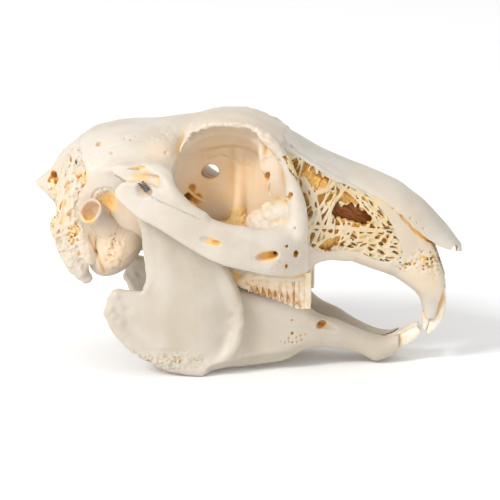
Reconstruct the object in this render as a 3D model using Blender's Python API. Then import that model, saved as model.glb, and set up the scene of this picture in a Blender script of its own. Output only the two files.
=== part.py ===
"""A life-size rabbit skull with its lower jaw closed, resting on the jaw as it would on a table.

X runs from the back of the head to the snout, +Y is the animal's left, Z is up from the table.
Every size is in millimetres until a mesh is made. Sizes are of the right side, where Y is negative.
"""

import math

import bmesh
import bpy
from mathutils import Vector
from mathutils.bvhtree import BVHTree

MM = 0.001
GAP = 0.3  # clearance that touching bones and teeth keep
EAR_ROOM = 0.6  # wider clearance round the ear capsules, whose fused forms swell where they meet
MIDDLE_X = -0.55  # halfway between the occiput at -46.9 and the nasal tip at +45.8
RIGHT, LEFT = -1, 1

FINE_VOXEL = 0.42  # grain at which forms are fused
SKULL_TRIANGLES = 4200
JAW_TRIANGLES = 800
BULLA_TRIANGLES = 240

# Whole sections across the head: x, floor, roof, half width, share of the height where widest.
BRAINCASE = [
    (-41.2, 30.0, 41.0, 3.5, 0.40),
    (-40.2, 25.5, 44.5, 9.0, 0.42),
    (-38.0, 23.8, 47.8, 12.0, 0.44),
    (-35.0, 23.0, 50.2, 13.2, 0.50),
    (-30.0, 23.0, 52.1, 13.8, 0.55),
    (-25.0, 23.5, 52.7, 14.3, 0.56),
    (-20.0, 24.5, 52.9, 13.8, 0.58),
    (-16.0, 26.0, 53.2, 11.6, 0.58),
    (-13.0, 27.0, 53.8, 7.6, 0.60),
    (-11.0, 28.0, 53.6, 4.4, 0.62),
    (-9.6, 30.0, 51.0, 1.8, 0.62),
]
OCCIPITAL_SHIELD = [
    (-46.9, 38.2, 39.2, 1.2, 0.5),
    (-45.6, 37.2, 40.3, 3.2, 0.5),
    (-43.2, 35.6, 42.6, 5.6, 0.5),
    (-41.0, 33.5, 45.6, 7.6, 0.5),
    (-38.8, 33.0, 47.4, 8.6, 0.5),
    (-36.0, 34.0, 48.6, 8.0, 0.5),
]
FOREHEAD = [
    (-16.5, 44.0, 53.1, 9.0, 0.45),
    (-12.0, 45.5, 54.1, 7.6, 0.55),
    (-8.0, 46.5, 55.0, 7.2, 0.6),
    (-4.0, 47.0, 55.1, 7.4, 0.6),
    (0.0, 46.5, 54.6, 8.3, 0.6),
    (4.0, 44.5, 53.1, 9.6, 0.55),
    (8.0, 43.0, 51.2, 10.4, 0.45),
    (12.0, 42.0, 48.8, 10.0, 0.4),
]
SEPTUM = [
    (-14.0, 25.5, 48.0, 6.5, 0.45),
    (-11.5, 26.5, 48.5, 3.0, 0.4),
    (-9.0, 27.0, 49.0, 1.5, 0.4),
    (-3.0, 27.0, 49.0, 1.4, 0.4),
    (0.0, 27.0, 49.0, 2.6, 0.4),
    (3.0, 26.0, 49.0, 5.6, 0.45),
    (6.0, 25.0, 48.5, 9.2, 0.5),
    (9.0, 24.5, 48.0, 11.2, 0.5),
]
SNOUT = [
    (6.5, 25.0, 51.6, 10.6, 0.45),
    (9.5, 24.2, 50.2, 12.0, 0.45),
    (13.5, 24.2, 48.0, 12.0, 0.42),
    (17.0, 24.5, 46.3, 11.0, 0.42),
    (22.0, 23.4, 44.0, 9.7, 0.42),
    (27.0, 21.1, 41.9, 8.5, 0.42),
    (31.0, 18.9, 39.6, 7.6, 0.42),
    (35.0, 16.6, 36.0, 6.9, 0.40),
    (38.0, 14.8, 30.5, 6.3, 0.40),
    (40.4, 13.6, 25.6, 5.7, 0.45),
    (41.6, 13.2, 22.0, 5.2, 0.45),
    (42.5, 13.6, 18.6, 4.4, 0.5),
]
NASAL_ROOF = [
    (8.0, 48.0, 51.0, 8.6, 0.2),
    (13.7, 44.4, 47.9, 9.4, 0.15),
    (19.0, 41.2, 45.4, 9.0, 0.15),
    (24.3, 38.2, 43.1, 8.4, 0.15),
    (29.2, 35.4, 41.0, 7.6, 0.15),
    (32.4, 32.8, 39.4, 7.0, 0.15),
    (35.0, 30.0, 37.7, 6.6, 0.15),
    (37.8, 27.6, 35.5, 6.1, 0.15),
    (40.2, 26.2, 33.0, 5.6, 0.15),
    (43.2, 25.1, 29.4, 4.9, 0.2),
    (45.0, 24.7, 26.8, 4.2, 0.3),
    (45.8, 24.6, 25.6, 3.2, 0.5),
]
PALATE = [
    (1.0, 23.4, 26.5, 6.0, 0.5),
    (3.0, 22.4, 27.0, 8.0, 0.5),
    (8.0, 22.0, 27.0, 8.5, 0.5),
    (13.0, 22.6, 27.0, 8.0, 0.5),
]
NASAL_CAVITY = [
    (13.0, 32.0, 43.5, 2.5, 0.5),
    (17.0, 29.0, 43.6, 5.0, 0.5),
    (24.0, 27.0, 41.2, 5.8, 0.5),
    (31.0, 24.0, 38.2, 5.6, 0.5),
    (36.0, 21.5, 35.0, 5.3, 0.5),
    (40.0, 19.0, 31.2, 4.6, 0.5),
    (43.0, 17.2, 27.6, 4.0, 0.5),
    (46.5, 16.0, 23.8, 3.9, 0.5),
    (49.0, 15.0, 21.5, 3.9, 0.5),
]

# Sections of one side: x, low y, low z, high y, high z, half thickness, outward bow.
BROW_SHELF = [
    (-14.1, -13.2, 46.9, -12.7, 47.9, 0.7, 0.0),
    (-12.8, -14.3, 49.8, -9.0, 52.4, 0.75, 0.0),
    (-10.4, -15.5, 52.2, -5.0, 53.8, 0.8, 0.0),
    (-7.7, -16.0, 53.7, -4.0, 54.2, 0.85, 0.0),
    (-4.6, -16.3, 54.2, -4.0, 54.3, 0.85, 0.0),
    (-1.0, -16.0, 54.1, -4.0, 54.0, 0.85, 0.0),
    (1.8, -15.0, 53.3, -4.5, 53.2, 0.85, 0.0),
    (4.0, -13.9, 51.6, -5.0, 52.4, 0.9, 0.0),
    (6.2, -12.8, 49.4, -6.0, 50.8, 1.2, 0.0),
]
ARCH = [
    (-26.8, -18.6, 38.8, -18.7, 40.6, 0.7, 0.0),
    (-25.4, -19.1, 37.7, -19.2, 42.0, 0.9, 0.0),
    (-22.0, -20.0, 34.9, -19.9, 42.6, 1.1, -0.2),
    (-18.0, -20.6, 32.9, -20.2, 41.6, 1.2, -0.3),
    (-14.0, -21.0, 30.5, -20.4, 40.0, 1.3, -0.4),
    (-11.0, -21.0, 28.6, -20.4, 37.6, 1.4, -0.5),
    (-7.5, -20.8, 26.6, -20.3, 35.4, 1.4, -0.6),
    (-4.0, -20.3, 25.0, -20.0, 34.0, 1.5, -0.6),
    (0.0, -19.0, 23.8, -19.4, 33.1, 1.8, -0.6),
    (4.0, -17.2, 22.5, -18.6, 32.3, 2.4, -0.5),
    (8.0, -14.8, 21.7, -16.4, 32.6, 3.4, -0.4),
    (11.0, -11.8, 21.3, -13.4, 34.0, 3.4, -0.2),
    (13.2, -10.2, 21.6, -11.2, 33.0, 2.4, 0.0),
]
TOOTH_SOCKETS = [
    (-2.8, -8.3, 21.8, -8.3, 27.0, 1.8, 0.0),
    (0.0, -8.5, 20.9, -8.8, 31.0, 3.2, 0.0),
    (4.0, -8.7, 20.4, -9.4, 34.2, 3.6, 0.0),
    (8.0, -8.9, 20.2, -9.8, 35.8, 3.8, 0.0),
    (12.0, -8.7, 20.2, -9.6, 33.0, 3.4, 0.0),
    (14.2, -8.4, 20.8, -9.0, 27.0, 2.2, 0.0),
]
PTERYGOID = [
    (-17.5, -5.0, 23.5, -4.5, 27.0, 0.6, 0.0),
    (-15.0, -5.0, 20.8, -4.2, 28.5, 0.6, 0.0),
    (-10.0, -4.6, 22.4, -3.6, 30.0, 0.7, 0.0),
    (-5.0, -4.6, 23.6, -3.4, 31.0, 1.0, 0.0),
    (1.0, -5.0, 24.0, -4.0, 30.0, 1.6, 0.0),
]
JAW_BLADE = [
    (-21.6, -15.5, 27.5, -15.9, 36.5, 0.6, 0.0),
    (-20.0, -15.4, 13.0, -15.9, 39.6, 0.8, 0.2),
    (-17.0, -15.8, 2.2, -15.6, 38.0, 0.85, 0.9),
    (-14.0, -15.9, 1.0, -15.2, 34.6, 0.85, 1.0),
    (-10.5, -15.8, 0.4, -15.0, 30.3, 0.9, 1.0),
    (-7.0, -14.9, 0.2, -14.5, 26.6, 1.2, 0.6),
    (-4.3, -13.4, 0.4, -13.8, 23.6, 1.9, -0.2),
    (-2.5, -12.2, 0.5, -12.6, 20.0, 2.3, -0.5),
]
JAW_ANGLE = [
    (-29.3, -15.6, 13.6, -15.6, 16.2, 0.8, 0.0),
    (-28.2, -15.8, 11.2, -15.6, 17.8, 1.2, 0.0),
    (-25.0, -15.9, 6.6, -15.4, 18.2, 1.1, 0.2),
    (-21.5, -16.0, 4.0, -15.2, 18.0, 1.0, 0.5),
    (-17.0, -16.0, 2.0, -15.0, 20.0, 1.0, 0.8),
]
JAW_RIM = [
    (-28.6, -16.3, 13.0, 0.9, 1.2),
    (-26.5, -16.5, 9.0, 0.9, 1.2),
    (-22.0, -16.6, 5.0, 0.9, 1.2),
    (-16.0, -16.6, 2.4, 0.9, 1.2),
    (-9.5, -16.2, 1.0, 1.0, 1.0),
    (-5.5, -15.8, 2.4, 1.0, 1.0),
    (-2.4, -15.0, 6.0, 1.0, 1.0),
    (-1.0, -14.4, 11.5, 0.9, 0.9),
    (-2.2, -14.2, 16.0, 0.8, 0.8),
    (-4.2, -14.2, 21.5, 0.8, 0.8),
]
JAW_BODY = [
    (-8.0, -12.5, 0.8, -13.0, 14.0, 1.5, 0.0),
    (-4.0, -11.6, 0.5, -10.2, 19.0, 3.0, -0.6),
    (0.0, -11.0, 0.6, -8.6, 17.2, 3.3, -0.9),
    (4.0, -10.2, 1.0, -7.8, 16.2, 3.2, -0.9),
    (9.0, -9.0, 1.8, -7.2, 15.0, 2.9, -0.7),
    (12.0, -7.8, 3.4, -6.8, 13.9, 2.7, -0.4),
    (14.5, -6.6, 3.9, -6.2, 11.8, 2.5, 0.0),
    (19.5, -4.6, 3.2, -4.8, 9.6, 2.4, 0.0),
    (24.5, -3.0, 1.6, -3.4, 7.0, 2.5, 0.0),
    (27.6, -2.6, 0.05, -2.9, 5.9, 2.5, 0.0),
    (30.5, -2.4, 0.9, -2.5, 5.6, 2.2, 0.0),
    (32.6, -2.3, 2.0, -2.3, 6.2, 1.9, 0.0),
]

# Rods: x, y, z, half size across the head, half size the other way.
JAW_CONDYLE = [
    (-25.2, -16.0, 38.2, 0.8, 0.8),
    (-23.6, -16.0, 39.8, 1.15, 1.3),
    (-20.5, -16.0, 40.4, 1.15, 1.4),
    (-17.6, -16.0, 39.0, 1.0, 1.1),
]
JAW_NECK = [
    (-23.2, -16.2, 38.0, 1.1, 1.3),
    (-21.6, -15.9, 34.0, 1.0, 1.2),
    (-19.6, -15.4, 28.5, 1.0, 1.0),
    (-19.1, -15.5, 23.0, 1.0, 0.9),
    (-20.6, -15.6, 18.6, 1.0, 1.0),
]
ORBIT_PILLAR = [
    (4.2, -11.0, 50.6, 1.6, 1.4),
    (8.0, -12.8, 48.2, 1.5, 1.5),
    (10.2, -13.0, 44.6, 1.5, 1.6),
    (10.8, -13.6, 40.5, 1.7, 1.7),
    (11.2, -14.6, 36.0, 2.0, 1.9),
    (11.0, -15.0, 31.0, 2.4, 2.0),
]
SQUAMOSAL_ROOT = [
    (-21.0, -12.0, 44.6, 3.8, 1.6),
    (-20.0, -14.8, 44.6, 3.6, 1.1),
    (-18.2, -17.2, 44.2, 2.6, 1.1),
    (-16.2, -19.2, 42.8, 1.7, 1.4),
    (-14.6, -20.4, 40.4, 1.6, 1.4),
    (-11.6, -20.6, 37.2, 1.2, 1.3),
    (-8.2, -20.5, 35.4, 0.8, 1.0),
]
PAROCCIPITAL = [
    (-38.5, -10.6, 30.0, 2.4, 2.4),
    (-37.2, -11.0, 25.5, 1.7, 1.8),
    (-35.4, -11.2, 21.8, 1.1, 1.3),
    (-33.9, -11.0, 19.2, 0.8, 0.9),
]
EAR_TUBE = [
    (-27.6, -9.5, 26.5, 3.0, 3.2),
    (-29.8, -12.0, 30.6, 2.9, 3.1),
    (-31.6, -14.2, 33.8, 2.6, 3.0),
    (-32.8, -15.9, 36.0, 2.5, 2.9),
]
EAR_HOLE = [
    (-30.2, -12.4, 31.2, 1.3, 1.6),
    (-31.6, -14.2, 33.8, 1.8, 2.2),
    (-34.0, -17.6, 38.2, 1.9, 2.3),
]
INCISIVE_FORAMEN = [
    (14.5, -2.4, 25.0, 1.2, 1.8),
    (18.0, -2.7, 23.8, 1.8, 3.0),
    (24.0, -2.3, 21.0, 1.6, 3.0),
    (30.0, -1.5, 17.5, 0.8, 2.4),
]
UPPER_INCISOR = [
    (36.0, -1.75, 20.6, 1.45, 1.5),
    (39.4, -1.75, 18.4, 1.45, 1.6),
    (41.0, -1.75, 15.0, 1.45, 1.6),
    (41.1, -1.75, 11.6, 1.4, 1.45),
    (40.3, -1.7, 8.9, 1.4, 1.2),
    (39.0, -1.7, 6.4, 1.35, 0.6),
]
PEG_TOOTH = [
    (36.6, -1.9, 17.0, 0.8, 0.8),
    (37.8, -1.9, 13.4, 0.8, 0.8),
    (38.0, -1.9, 10.4, 0.7, 0.6),
]
LOWER_INCISOR = [
    (28.6, -1.75, 3.2, 1.3, 1.4),
    (31.5, -1.75, 3.7, 1.35, 1.5),
    (34.2, -1.75, 5.2, 1.35, 1.45),
    (36.2, -1.75, 7.0, 1.3, 0.9),
    (37.2, -1.75, 8.5, 1.2, 0.35),
]
SPRING = [
    (-21.6, -18.1, 43.1, 0.45, 0.45),
    (-20.4, -18.1, 40.6, 0.45, 0.45),
]

# Bulbs: centre, then half sizes.
MASTOID = ((-36.6, -10.2, 31.5), (3.8, 3.4, 8.0))
OCCIPITAL_CONDYLE = ((-39.8, -4.0, 26.2), (1.9, 2.1, 3.4))
FORAMEN_MAGNUM = ((-42.0, 0.0, 29.6), (11.0, 3.9, 3.9))
OPTIC_FORAMEN = ((-8.6, 0.0, 41.2), (2.0, 5.0, 1.6))
BULLA = ((-27.4, -8.6, 26.8), (5.4, 4.6, 7.0))
BULLA_LEAN_DEG = 14

# The lacework in the side of the snout, seen from the side: x and z of its outline.
LACE_OUTLINE = [
    (10.5, 44.0), (16.0, 40.9), (21.3, 37.6), (25.4, 34.0), (28.6, 30.9), (30.8, 27.0),
    (30.4, 24.4), (26.6, 25.2), (22.6, 28.0), (15.6, 28.0), (14.6, 33.0), (13.8, 37.6),
]
LACE_PITCH = 3.9  # spacing of its openings
LACE_STRUT = 0.9  # bone left between them
LACE_SIDES = 5
LACE_WALL = 1.1  # thickness of the lacework itself

# Sutures seen from the side: x and z along each cut that parts the bones.
NASAL_SUTURE = [
    (7.1, 49.5), (13.5, 45.2), (19.0, 42.0), (24.3, 38.9), (29.2, 36.2),
    (32.4, 33.4), (35.0, 30.6), (37.8, 28.0), (40.3, 26.3), (44.0, 24.0), (50.0, 21.0),
]
FRONTAL_SUTURE = [
    (-14.9, 60.0), (-14.9, 46.2), (-9.0, 45.0), (2.0, 44.6), (5.6, 46.4), (7.4, 49.2),
    (7.2, 60.0),
]
MAXILLA_SUTURE = [(1.65, 45.0), (0.6, 36.0), (-3.4, 31.5), (-4.0, 10.0)]
PREMAXILLA_SUTURE = [
    (5.8, 46.9), (10.0, 45.3), (15.9, 42.3), (21.2, 39.1), (25.6, 35.4), (29.0, 32.0),
    (31.6, 28.0), (31.2, 23.6), (29.0, 18.0), (28.0, 8.0),
]
JUGAL_SUTURE_BACK = [
    (-21.5, 45.5), (-21.2, 40.8), (-17.5, 38.8), (-12.5, 36.7), (-8.6, 34.9), (-4.4, 36.8),
]
JUGAL_SUTURE_FRONT = [(2.6, 40.0), (1.6, 28.0), (2.4, 18.0)]
FAR_OUT = 26.0  # half width past every bone

# Cheek teeth: rows run from the back tooth to the front one along a sloping bite line.
UPPER_ROW = {"back_x": -0.6, "pitch": 2.5, "count": 6, "y": -8.9, "half_y": 1.95, "root_z": 24.0}
LOWER_ROW = {"back_x": -1.2, "pitch": 2.85, "count": 5, "y": -7.2, "half_y": 1.6, "root_z": 10.0}
BITE_BACK = (-1.0, 17.7)
BITE_FRONT = (13.6, 13.8)
TOOTH_CUSP = 0.35  # how far the middle of a crown stands past its ends


def smoothed(rows, steps):
    """The rows of a size table with points added between them on a Catmull-Rom curve."""
    padded = [rows[0], *rows, rows[-1]]
    out = []
    for before, start, end, after in zip(padded, padded[1:], padded[2:], padded[3:]):
        for step in range(steps):
            t = step / steps
            out.append(tuple(
                0.5 * (2 * b + (c - a) * t + (2 * a - 5 * b + 4 * c - d) * t * t
                       + (3 * b - a - 3 * c + d) * t ** 3)
                for a, b, c, d in zip(before, start, end, after)
            ))
    out.append(tuple(rows[-1]))
    return out


def mesh_object(name, bm):
    """An object from a bmesh in millimetres, its normals turned outward and its size made real."""
    bm.normal_update()
    bmesh.ops.recalc_face_normals(bm, faces=bm.faces)
    bmesh.ops.translate(bm, vec=Vector((-MIDDLE_X, 0, 0)), verts=bm.verts)
    bmesh.ops.scale(bm, vec=Vector((MM, MM, MM)), verts=bm.verts)
    mesh = bpy.data.meshes.new(name)
    bm.to_mesh(mesh)
    bm.free()
    obj = bpy.data.objects.new(name, mesh)
    bpy.context.scene.collection.objects.link(obj)
    return obj


def skin(name, rings):
    """A closed body stretched over rings of points, its ends closed by fans."""
    bm = bmesh.new()
    loops = [[bm.verts.new(p) for p in ring] for ring in rings]
    for first, second in zip(loops, loops[1:]):
        for i in range(len(first)):
            j = (i + 1) % len(first)
            bm.faces.new((first[i], first[j], second[j], second[i]))
    for loop in (loops[0], loops[-1]):
        centre = sum((v.co for v in loop), Vector()) / len(loop)
        tip = bm.verts.new(centre)
        for i in range(len(loop)):
            bm.faces.new((loop[i], loop[(i + 1) % len(loop)], tip))
    return mesh_object(name, bm)


def squared(value, power):
    """Bends a cosine or sine so that a ring runs from round to boxy."""
    return math.copysign(abs(value) ** (2 / power), value)


def section_ring(x, low, high, half, bow=0.0, wide=0.5, power=2.4, sides=20):
    """A ring across X from the (y, z) point low to the point high, widest at the share `wide`."""
    low, high = Vector(low), Vector(high)
    along = high - low
    across = Vector((along.y, -along.x)).normalized()
    ring = []
    for i in range(sides):
        turn = 2 * math.pi * i / sides
        up, out = squared(math.sin(turn), power), squared(math.cos(turn), power)
        share = wide + up * ((1 - wide) if up > 0 else wide)
        point = low + along * share + across * (out * half + bow * (1 - up * up))
        ring.append(Vector((x, point.x, point.y)))
    return ring


def across_head(name, rows, steps=3, power=2.6, sides=24):
    """A body that runs along the head's middle plane."""
    rings = [
        section_ring(x, (0, low), (0, high), half, wide=wide, power=power, sides=sides)
        for x, low, high, half, wide in smoothed(rows, steps)
    ]
    return skin(name, rings)


def one_side(name, rows, side, steps=3, power=2.6, sides=16):
    """A plate or block of one side of the head. The rows are of the right side."""
    rings = [
        section_ring(x, (low_y, low_z), (high_y, high_z), half, bow=-bow, power=power, sides=sides)
        for x, low_y, low_z, high_y, high_z, half, bow in smoothed(rows, steps)
    ]
    if side == LEFT:
        rings = [[Vector((p.x, -p.y, p.z)) for p in ring] for ring in rings]
    return skin(name, rings)


def rod(name, rows, side, steps=3, sides=12, grow=0.0, across=Vector((0, 1, 0))):
    """A rod along a curve, with its two half sizes set across the head and square to that."""
    rows = smoothed(rows, steps)
    points = [Vector(row[:3]) for row in rows]
    rings = []
    for i, (point, row) in enumerate(zip(points, rows)):
        ahead = (points[min(i + 1, len(points) - 1)] - points[max(i - 1, 0)]).normalized()
        first = (across - ahead * across.dot(ahead)).normalized()
        second = ahead.cross(first)
        ring = []
        for k in range(sides):
            turn = 2 * math.pi * k / sides
            offset = first * (row[3] + grow) * math.cos(turn)
            offset += second * (row[4] + grow) * math.sin(turn)
            ring.append(point + offset)
        rings.append(ring)
    if grow:
        rings[0] = [p - (points[1] - points[0]).normalized() * grow for p in rings[0]]
    if side == LEFT:
        rings = [[Vector((p.x, -p.y, p.z)) for p in ring] for ring in rings]
    return skin(name, rings)


def bulb(name, size, side, grow=0.0, lean_deg=0.0, parts=20):
    """An ellipsoid, leaning back at its foot by lean_deg."""
    (x, y, z), (rx, ry, rz) = size
    bm = bmesh.new()
    bmesh.ops.create_uvsphere(bm, u_segments=parts, v_segments=parts // 2, radius=1.0)
    lean = math.radians(lean_deg)
    for v in bm.verts:
        px, py, pz = v.co.x * (rx + grow), v.co.y * (ry + grow), v.co.z * (rz + grow)
        v.co = Vector((
            x + px * math.cos(lean) + pz * math.sin(lean),
            -side * (y + py),
            z - px * math.sin(lean) + pz * math.cos(lean),
        ))
    return mesh_object(name, bm)


def sheet(name, line, near_y, far_y, thick=GAP):
    """A thin upright wall over a line of x, z points, for cutting a suture."""
    points = [Vector(p) for p in line]
    sides = ([], [])
    for i, point in enumerate(points):
        before = (point - points[i - 1]).normalized() if i else (points[1] - point).normalized()
        after = (points[i + 1] - point).normalized() if i + 1 < len(points) else before
        run = (before + after).normalized()
        offset = Vector((-run.y, run.x)) * thick / 2 / max(run.dot(before), 0.5)
        sides[0].append(point + offset)
        sides[1].append(point - offset)
    outline = sides[0] + sides[1][::-1]
    bm = bmesh.new()
    near = [bm.verts.new((p.x, near_y, p.y)) for p in outline]
    far = [bm.verts.new((p.x, far_y, p.y)) for p in outline]
    last = len(outline)
    for i in range(last):
        j = (i + 1) % last
        bm.faces.new((near[i], near[j], far[j], far[i]))
    for row in (near, far):
        for i in range(len(line) - 1):
            bm.faces.new((row[i], row[i + 1], row[last - 2 - i], row[last - 1 - i]))
    return mesh_object(name, bm)


def apply_modifiers(obj):
    """Gives the object the mesh that its modifiers make, and takes them off."""
    graph = bpy.context.evaluated_depsgraph_get()
    graph.update()
    mesh = bpy.data.meshes.new_from_object(obj.evaluated_get(graph))
    obj.modifiers.clear()
    obj.data = mesh


def remove(obj):
    bpy.data.objects.remove(obj)


def joined(name, forms):
    """One mesh object that holds all the forms, which are removed."""
    bm = bmesh.new()
    for form in forms:
        bm.from_mesh(form.data)
        remove(form)
    mesh = bpy.data.meshes.new(name)
    bm.to_mesh(mesh)
    bm.free()
    obj = bpy.data.objects.new(name, mesh)
    bpy.context.scene.collection.objects.link(obj)
    return obj


def remeshed(obj, smooth_steps):
    """Fuses overlapping shells into one skin and softens its creases."""
    fuse = obj.modifiers.new("fuse", "REMESH")
    fuse.mode = "VOXEL"
    fuse.voxel_size = FINE_VOXEL * MM
    soften = obj.modifiers.new("soften", "SMOOTH")
    soften.factor = 0.5
    soften.iterations = smooth_steps
    apply_modifiers(obj)


def thinned(obj, triangles):
    """Collapses the skin to about this many triangles."""
    faces = sum(len(p.vertices) - 2 for p in obj.data.polygons)
    thin = obj.modifiers.new("thin", "DECIMATE")
    thin.ratio = triangles / faces
    thin.use_collapse_triangulate = True
    apply_modifiers(obj)


def carve(obj, cutters, operation="DIFFERENCE", solver="EXACT"):
    """Cuts each cutter from the object, or joins it on, then removes it."""
    for cutter in cutters:
        cut = obj.modifiers.new("cut", "BOOLEAN")
        cut.operation = operation
        cut.solver = solver
        cut.object = cutter
        apply_modifiers(obj)
        remove(cutter)


def made_symmetric(obj):
    """Copies the right side of the mesh onto its left."""
    bm = bmesh.new()
    bm.from_mesh(obj.data)
    bmesh.ops.symmetrize(
        bm, input=[*bm.verts, *bm.edges, *bm.faces], direction="-Y", dist=0.02 * MM
    )
    bmesh.ops.triangulate(bm, faces=bm.faces)
    bm.to_mesh(obj.data)
    bm.free()


def shells_of(obj):
    """The separate closed surfaces of a mesh, each as a list of face indexes."""
    bm = bmesh.new()
    bm.from_mesh(obj.data)
    bm.faces.ensure_lookup_table()
    seen, shells = set(), []
    for face in bm.faces:
        if face.index in seen:
            continue
        stack, shell = [face], []
        seen.add(face.index)
        while stack:
            current = stack.pop()
            shell.append(current.index)
            for edge in current.edges:
                for other in edge.link_faces:
                    if other.index not in seen:
                        seen.add(other.index)
                        stack.append(other)
        shells.append(shell)
    return bm, shells


def parted(obj, seeds):
    """Splits a cut mesh into named bones: each takes the closed surface nearest its seed point."""
    bm, shells = shells_of(obj)
    bodies = []
    for shell in sorted(shells, key=len, reverse=True)[:40]:
        points, faces = {}, []
        for index in shell:
            face = bm.faces[index]
            faces.append([points.setdefault(v.index, len(points)) for v in face.verts])
        bm.verts.ensure_lookup_table()
        coords = [bm.verts[i].co.copy() for i in points]
        bodies.append((coords, faces, BVHTree.FromPolygons(coords, faces)))
    bm.free()
    bones = {}
    for name, seed in seeds.items():
        place = (Vector(seed) - Vector((MIDDLE_X, 0, 0))) * MM
        coords, faces, _ = min(bodies, key=lambda body: body[2].find_nearest(place)[3])
        mesh = bpy.data.meshes.new(name)
        mesh.from_pydata(coords, [], faces)
        bones[name] = bpy.data.objects.new(name, mesh)
        bpy.context.scene.collection.objects.link(bones[name])
    remove(obj)
    return bones


def skull_forms():
    """Every form of the upper skull but the ear capsules and the teeth."""
    forms = [
        across_head("braincase_form", BRAINCASE),
        across_head("shield_form", OCCIPITAL_SHIELD),
        across_head("forehead_form", FOREHEAD, power=3.0),
        across_head("septum_form", SEPTUM),
        across_head("snout_form", SNOUT, power=2.8),
        across_head("nasal_form", NASAL_ROOF, power=2.2),
        across_head("palate_form", PALATE),
    ]
    for side in (RIGHT, LEFT):
        forms += [
            one_side("shelf_form", BROW_SHELF, side),
            one_side("arch_form", ARCH, side),
            one_side("socket_form", TOOTH_SOCKETS, side),
            one_side("pterygoid_form", PTERYGOID, side),
            rod("pillar_form", ORBIT_PILLAR, side),
            rod("root_form", SQUAMOSAL_ROOT, side, across=Vector((1, 0, 0))),
            rod("paroccipital_form", PAROCCIPITAL, side),
            bulb("mastoid_form", MASTOID, side),
            bulb("condyle_form", OCCIPITAL_CONDYLE, side),
        ]
    return forms


def inside(point, outline):
    """Whether a 2-D point lies inside a closed outline."""
    x, z = point
    found = False
    for (x0, z0), (x1, z1) in zip(outline, outline[1:] + outline[:1]):
        if (z0 > z) != (z1 > z) and x < (x1 - x0) * (z - z0) / (z1 - z0) + x0:
            found = not found
    return found


def half_width_at(rows, x, z):
    """Half width of a whole-section body at a place seen from the side."""
    dense = smoothed(rows, 4)
    row = min(dense, key=lambda r: abs(r[0] - x))
    _, low, high, half, wide = row
    level = low + wide * (high - low)
    up = (z - level) / ((high - level) if z > level else (level - low))
    power = 2.8
    return half * max(0.0, 1 - min(1.0, abs(up)) ** power) ** (1 / power)


def lace_holes():
    """Centres of the openings of the lacework, staggered in rows inside its outline."""
    holes = []
    row_height = LACE_PITCH * math.sqrt(3) / 2
    low_x, low_z = min(p[0] for p in LACE_OUTLINE), min(p[1] for p in LACE_OUTLINE)
    for j in range(12):
        for i in range(12):
            shift = 0.5 * (j % 2) + 0.18 * math.sin(2.3 * i + 1.7 * j)
            x = low_x + LACE_PITCH * (i + shift)
            z = low_z + row_height * (j + 0.15 * math.sin(1.9 * i))
            if inside((x, z), LACE_OUTLINE):
                holes.append((x, z))
    return holes


def lace_pocket(side):
    """The hollow behind the lacework: a slab inside the snout's wall."""
    rings = []
    reach = 1.6
    for x, low, high in ((12.6, 36.0, 43.0), (15.0, 29.0, 41.0), (19.0, 28.4, 38.8), (23.0, 28.0, 36.0),
                         (27.0, 26.0, 32.4), (30.4, 25.4, 28.6)):
        outer = half_width_at(SNOUT, x, (low + high) / 2) - LACE_WALL
        rings.append(section_ring(
            x, (-side * -(outer - reach), low), (-side * -(outer - reach), high), reach, sides=12
        ))
    return skin("pocket", rings)


def lace_cutters(side):
    """One tapering prism for each opening, from outside the snout into the pocket."""
    cutters = []
    for x, z in lace_holes():
        outer = half_width_at(SNOUT, x, z)
        radius = (LACE_PITCH - LACE_STRUT) / 2
        rings = []
        for depth, size in ((outer + 3.0, 1.15), (outer - LACE_WALL - 0.9, 0.85)):
            ring = []
            for k in range(LACE_SIDES):
                turn = 2 * math.pi * (k + 0.5) / LACE_SIDES
                stretch = 1.18 if k % 3 else 0.95
                ring.append(Vector((
                    x + radius * size * stretch * math.cos(turn),
                    side * depth,
                    z + radius * size * math.sin(turn) / stretch,
                )))
            rings.append(ring)
        cutters.append(skin("opening", rings))
    return cutters


def bite_height(x):
    share = (x - BITE_BACK[0]) / (BITE_FRONT[0] - BITE_BACK[0])
    return BITE_BACK[1] + share * (BITE_FRONT[1] - BITE_BACK[1])


def cheek_teeth(row, side, points_up):
    """A row of two-lobed columns, each with a ridge across its crown."""
    teeth = []
    half_x = row["pitch"] / 2 - 0.12
    away = GAP / 2 + 0.05
    for k in range(row["count"]):
        x = row["back_x"] + row["pitch"] * (k + 0.5)
        narrow = 0.8 if k in (0, row["count"] - 1) else 1.0
        bite = bite_height(x)
        crown = bite - away if points_up else bite + away
        drop = -1 if points_up else 1
        rings = []
        for z, grow in ((row["root_z"], 0.94), (crown + drop * TOOTH_CUSP * 2, 1.0), (crown + drop * TOOTH_CUSP, 0.9)):
            ring = []
            for turn_deg in range(0, 360, 45):
                turn = math.radians(turn_deg)
                waist = 0.82 if turn_deg in (90, 270) else 1.0
                ring.append(Vector((
                    x + half_x * grow * math.copysign(abs(math.cos(turn)) ** 0.6, math.cos(turn)),
                    side * -(row["y"] + row["half_y"] * narrow * grow * waist * math.sin(turn)),
                    z,
                )))
            rings.append(ring)
        teeth.append(skin("tooth", rings))
    return teeth


def finish(obj, name, material):
    obj.name = name
    obj.data.name = name
    obj.data.materials.clear()
    obj.data.materials.append(material)
    obj.data.shade_smooth()
    obj.data.set_sharp_from_angle(angle=math.radians(40))
    return obj


def bone_material(name, colour, roughness, metallic=0.0):
    material = bpy.data.materials.new(name)
    material.use_nodes = True
    surface = material.node_tree.nodes["Principled BSDF"]
    surface.inputs["Base Color"].default_value = (*colour, 1.0)
    surface.inputs["Roughness"].default_value = roughness
    surface.inputs["Metallic"].default_value = metallic
    return material


def side_name(side):
    return "right" if side == RIGHT else "left"


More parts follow.
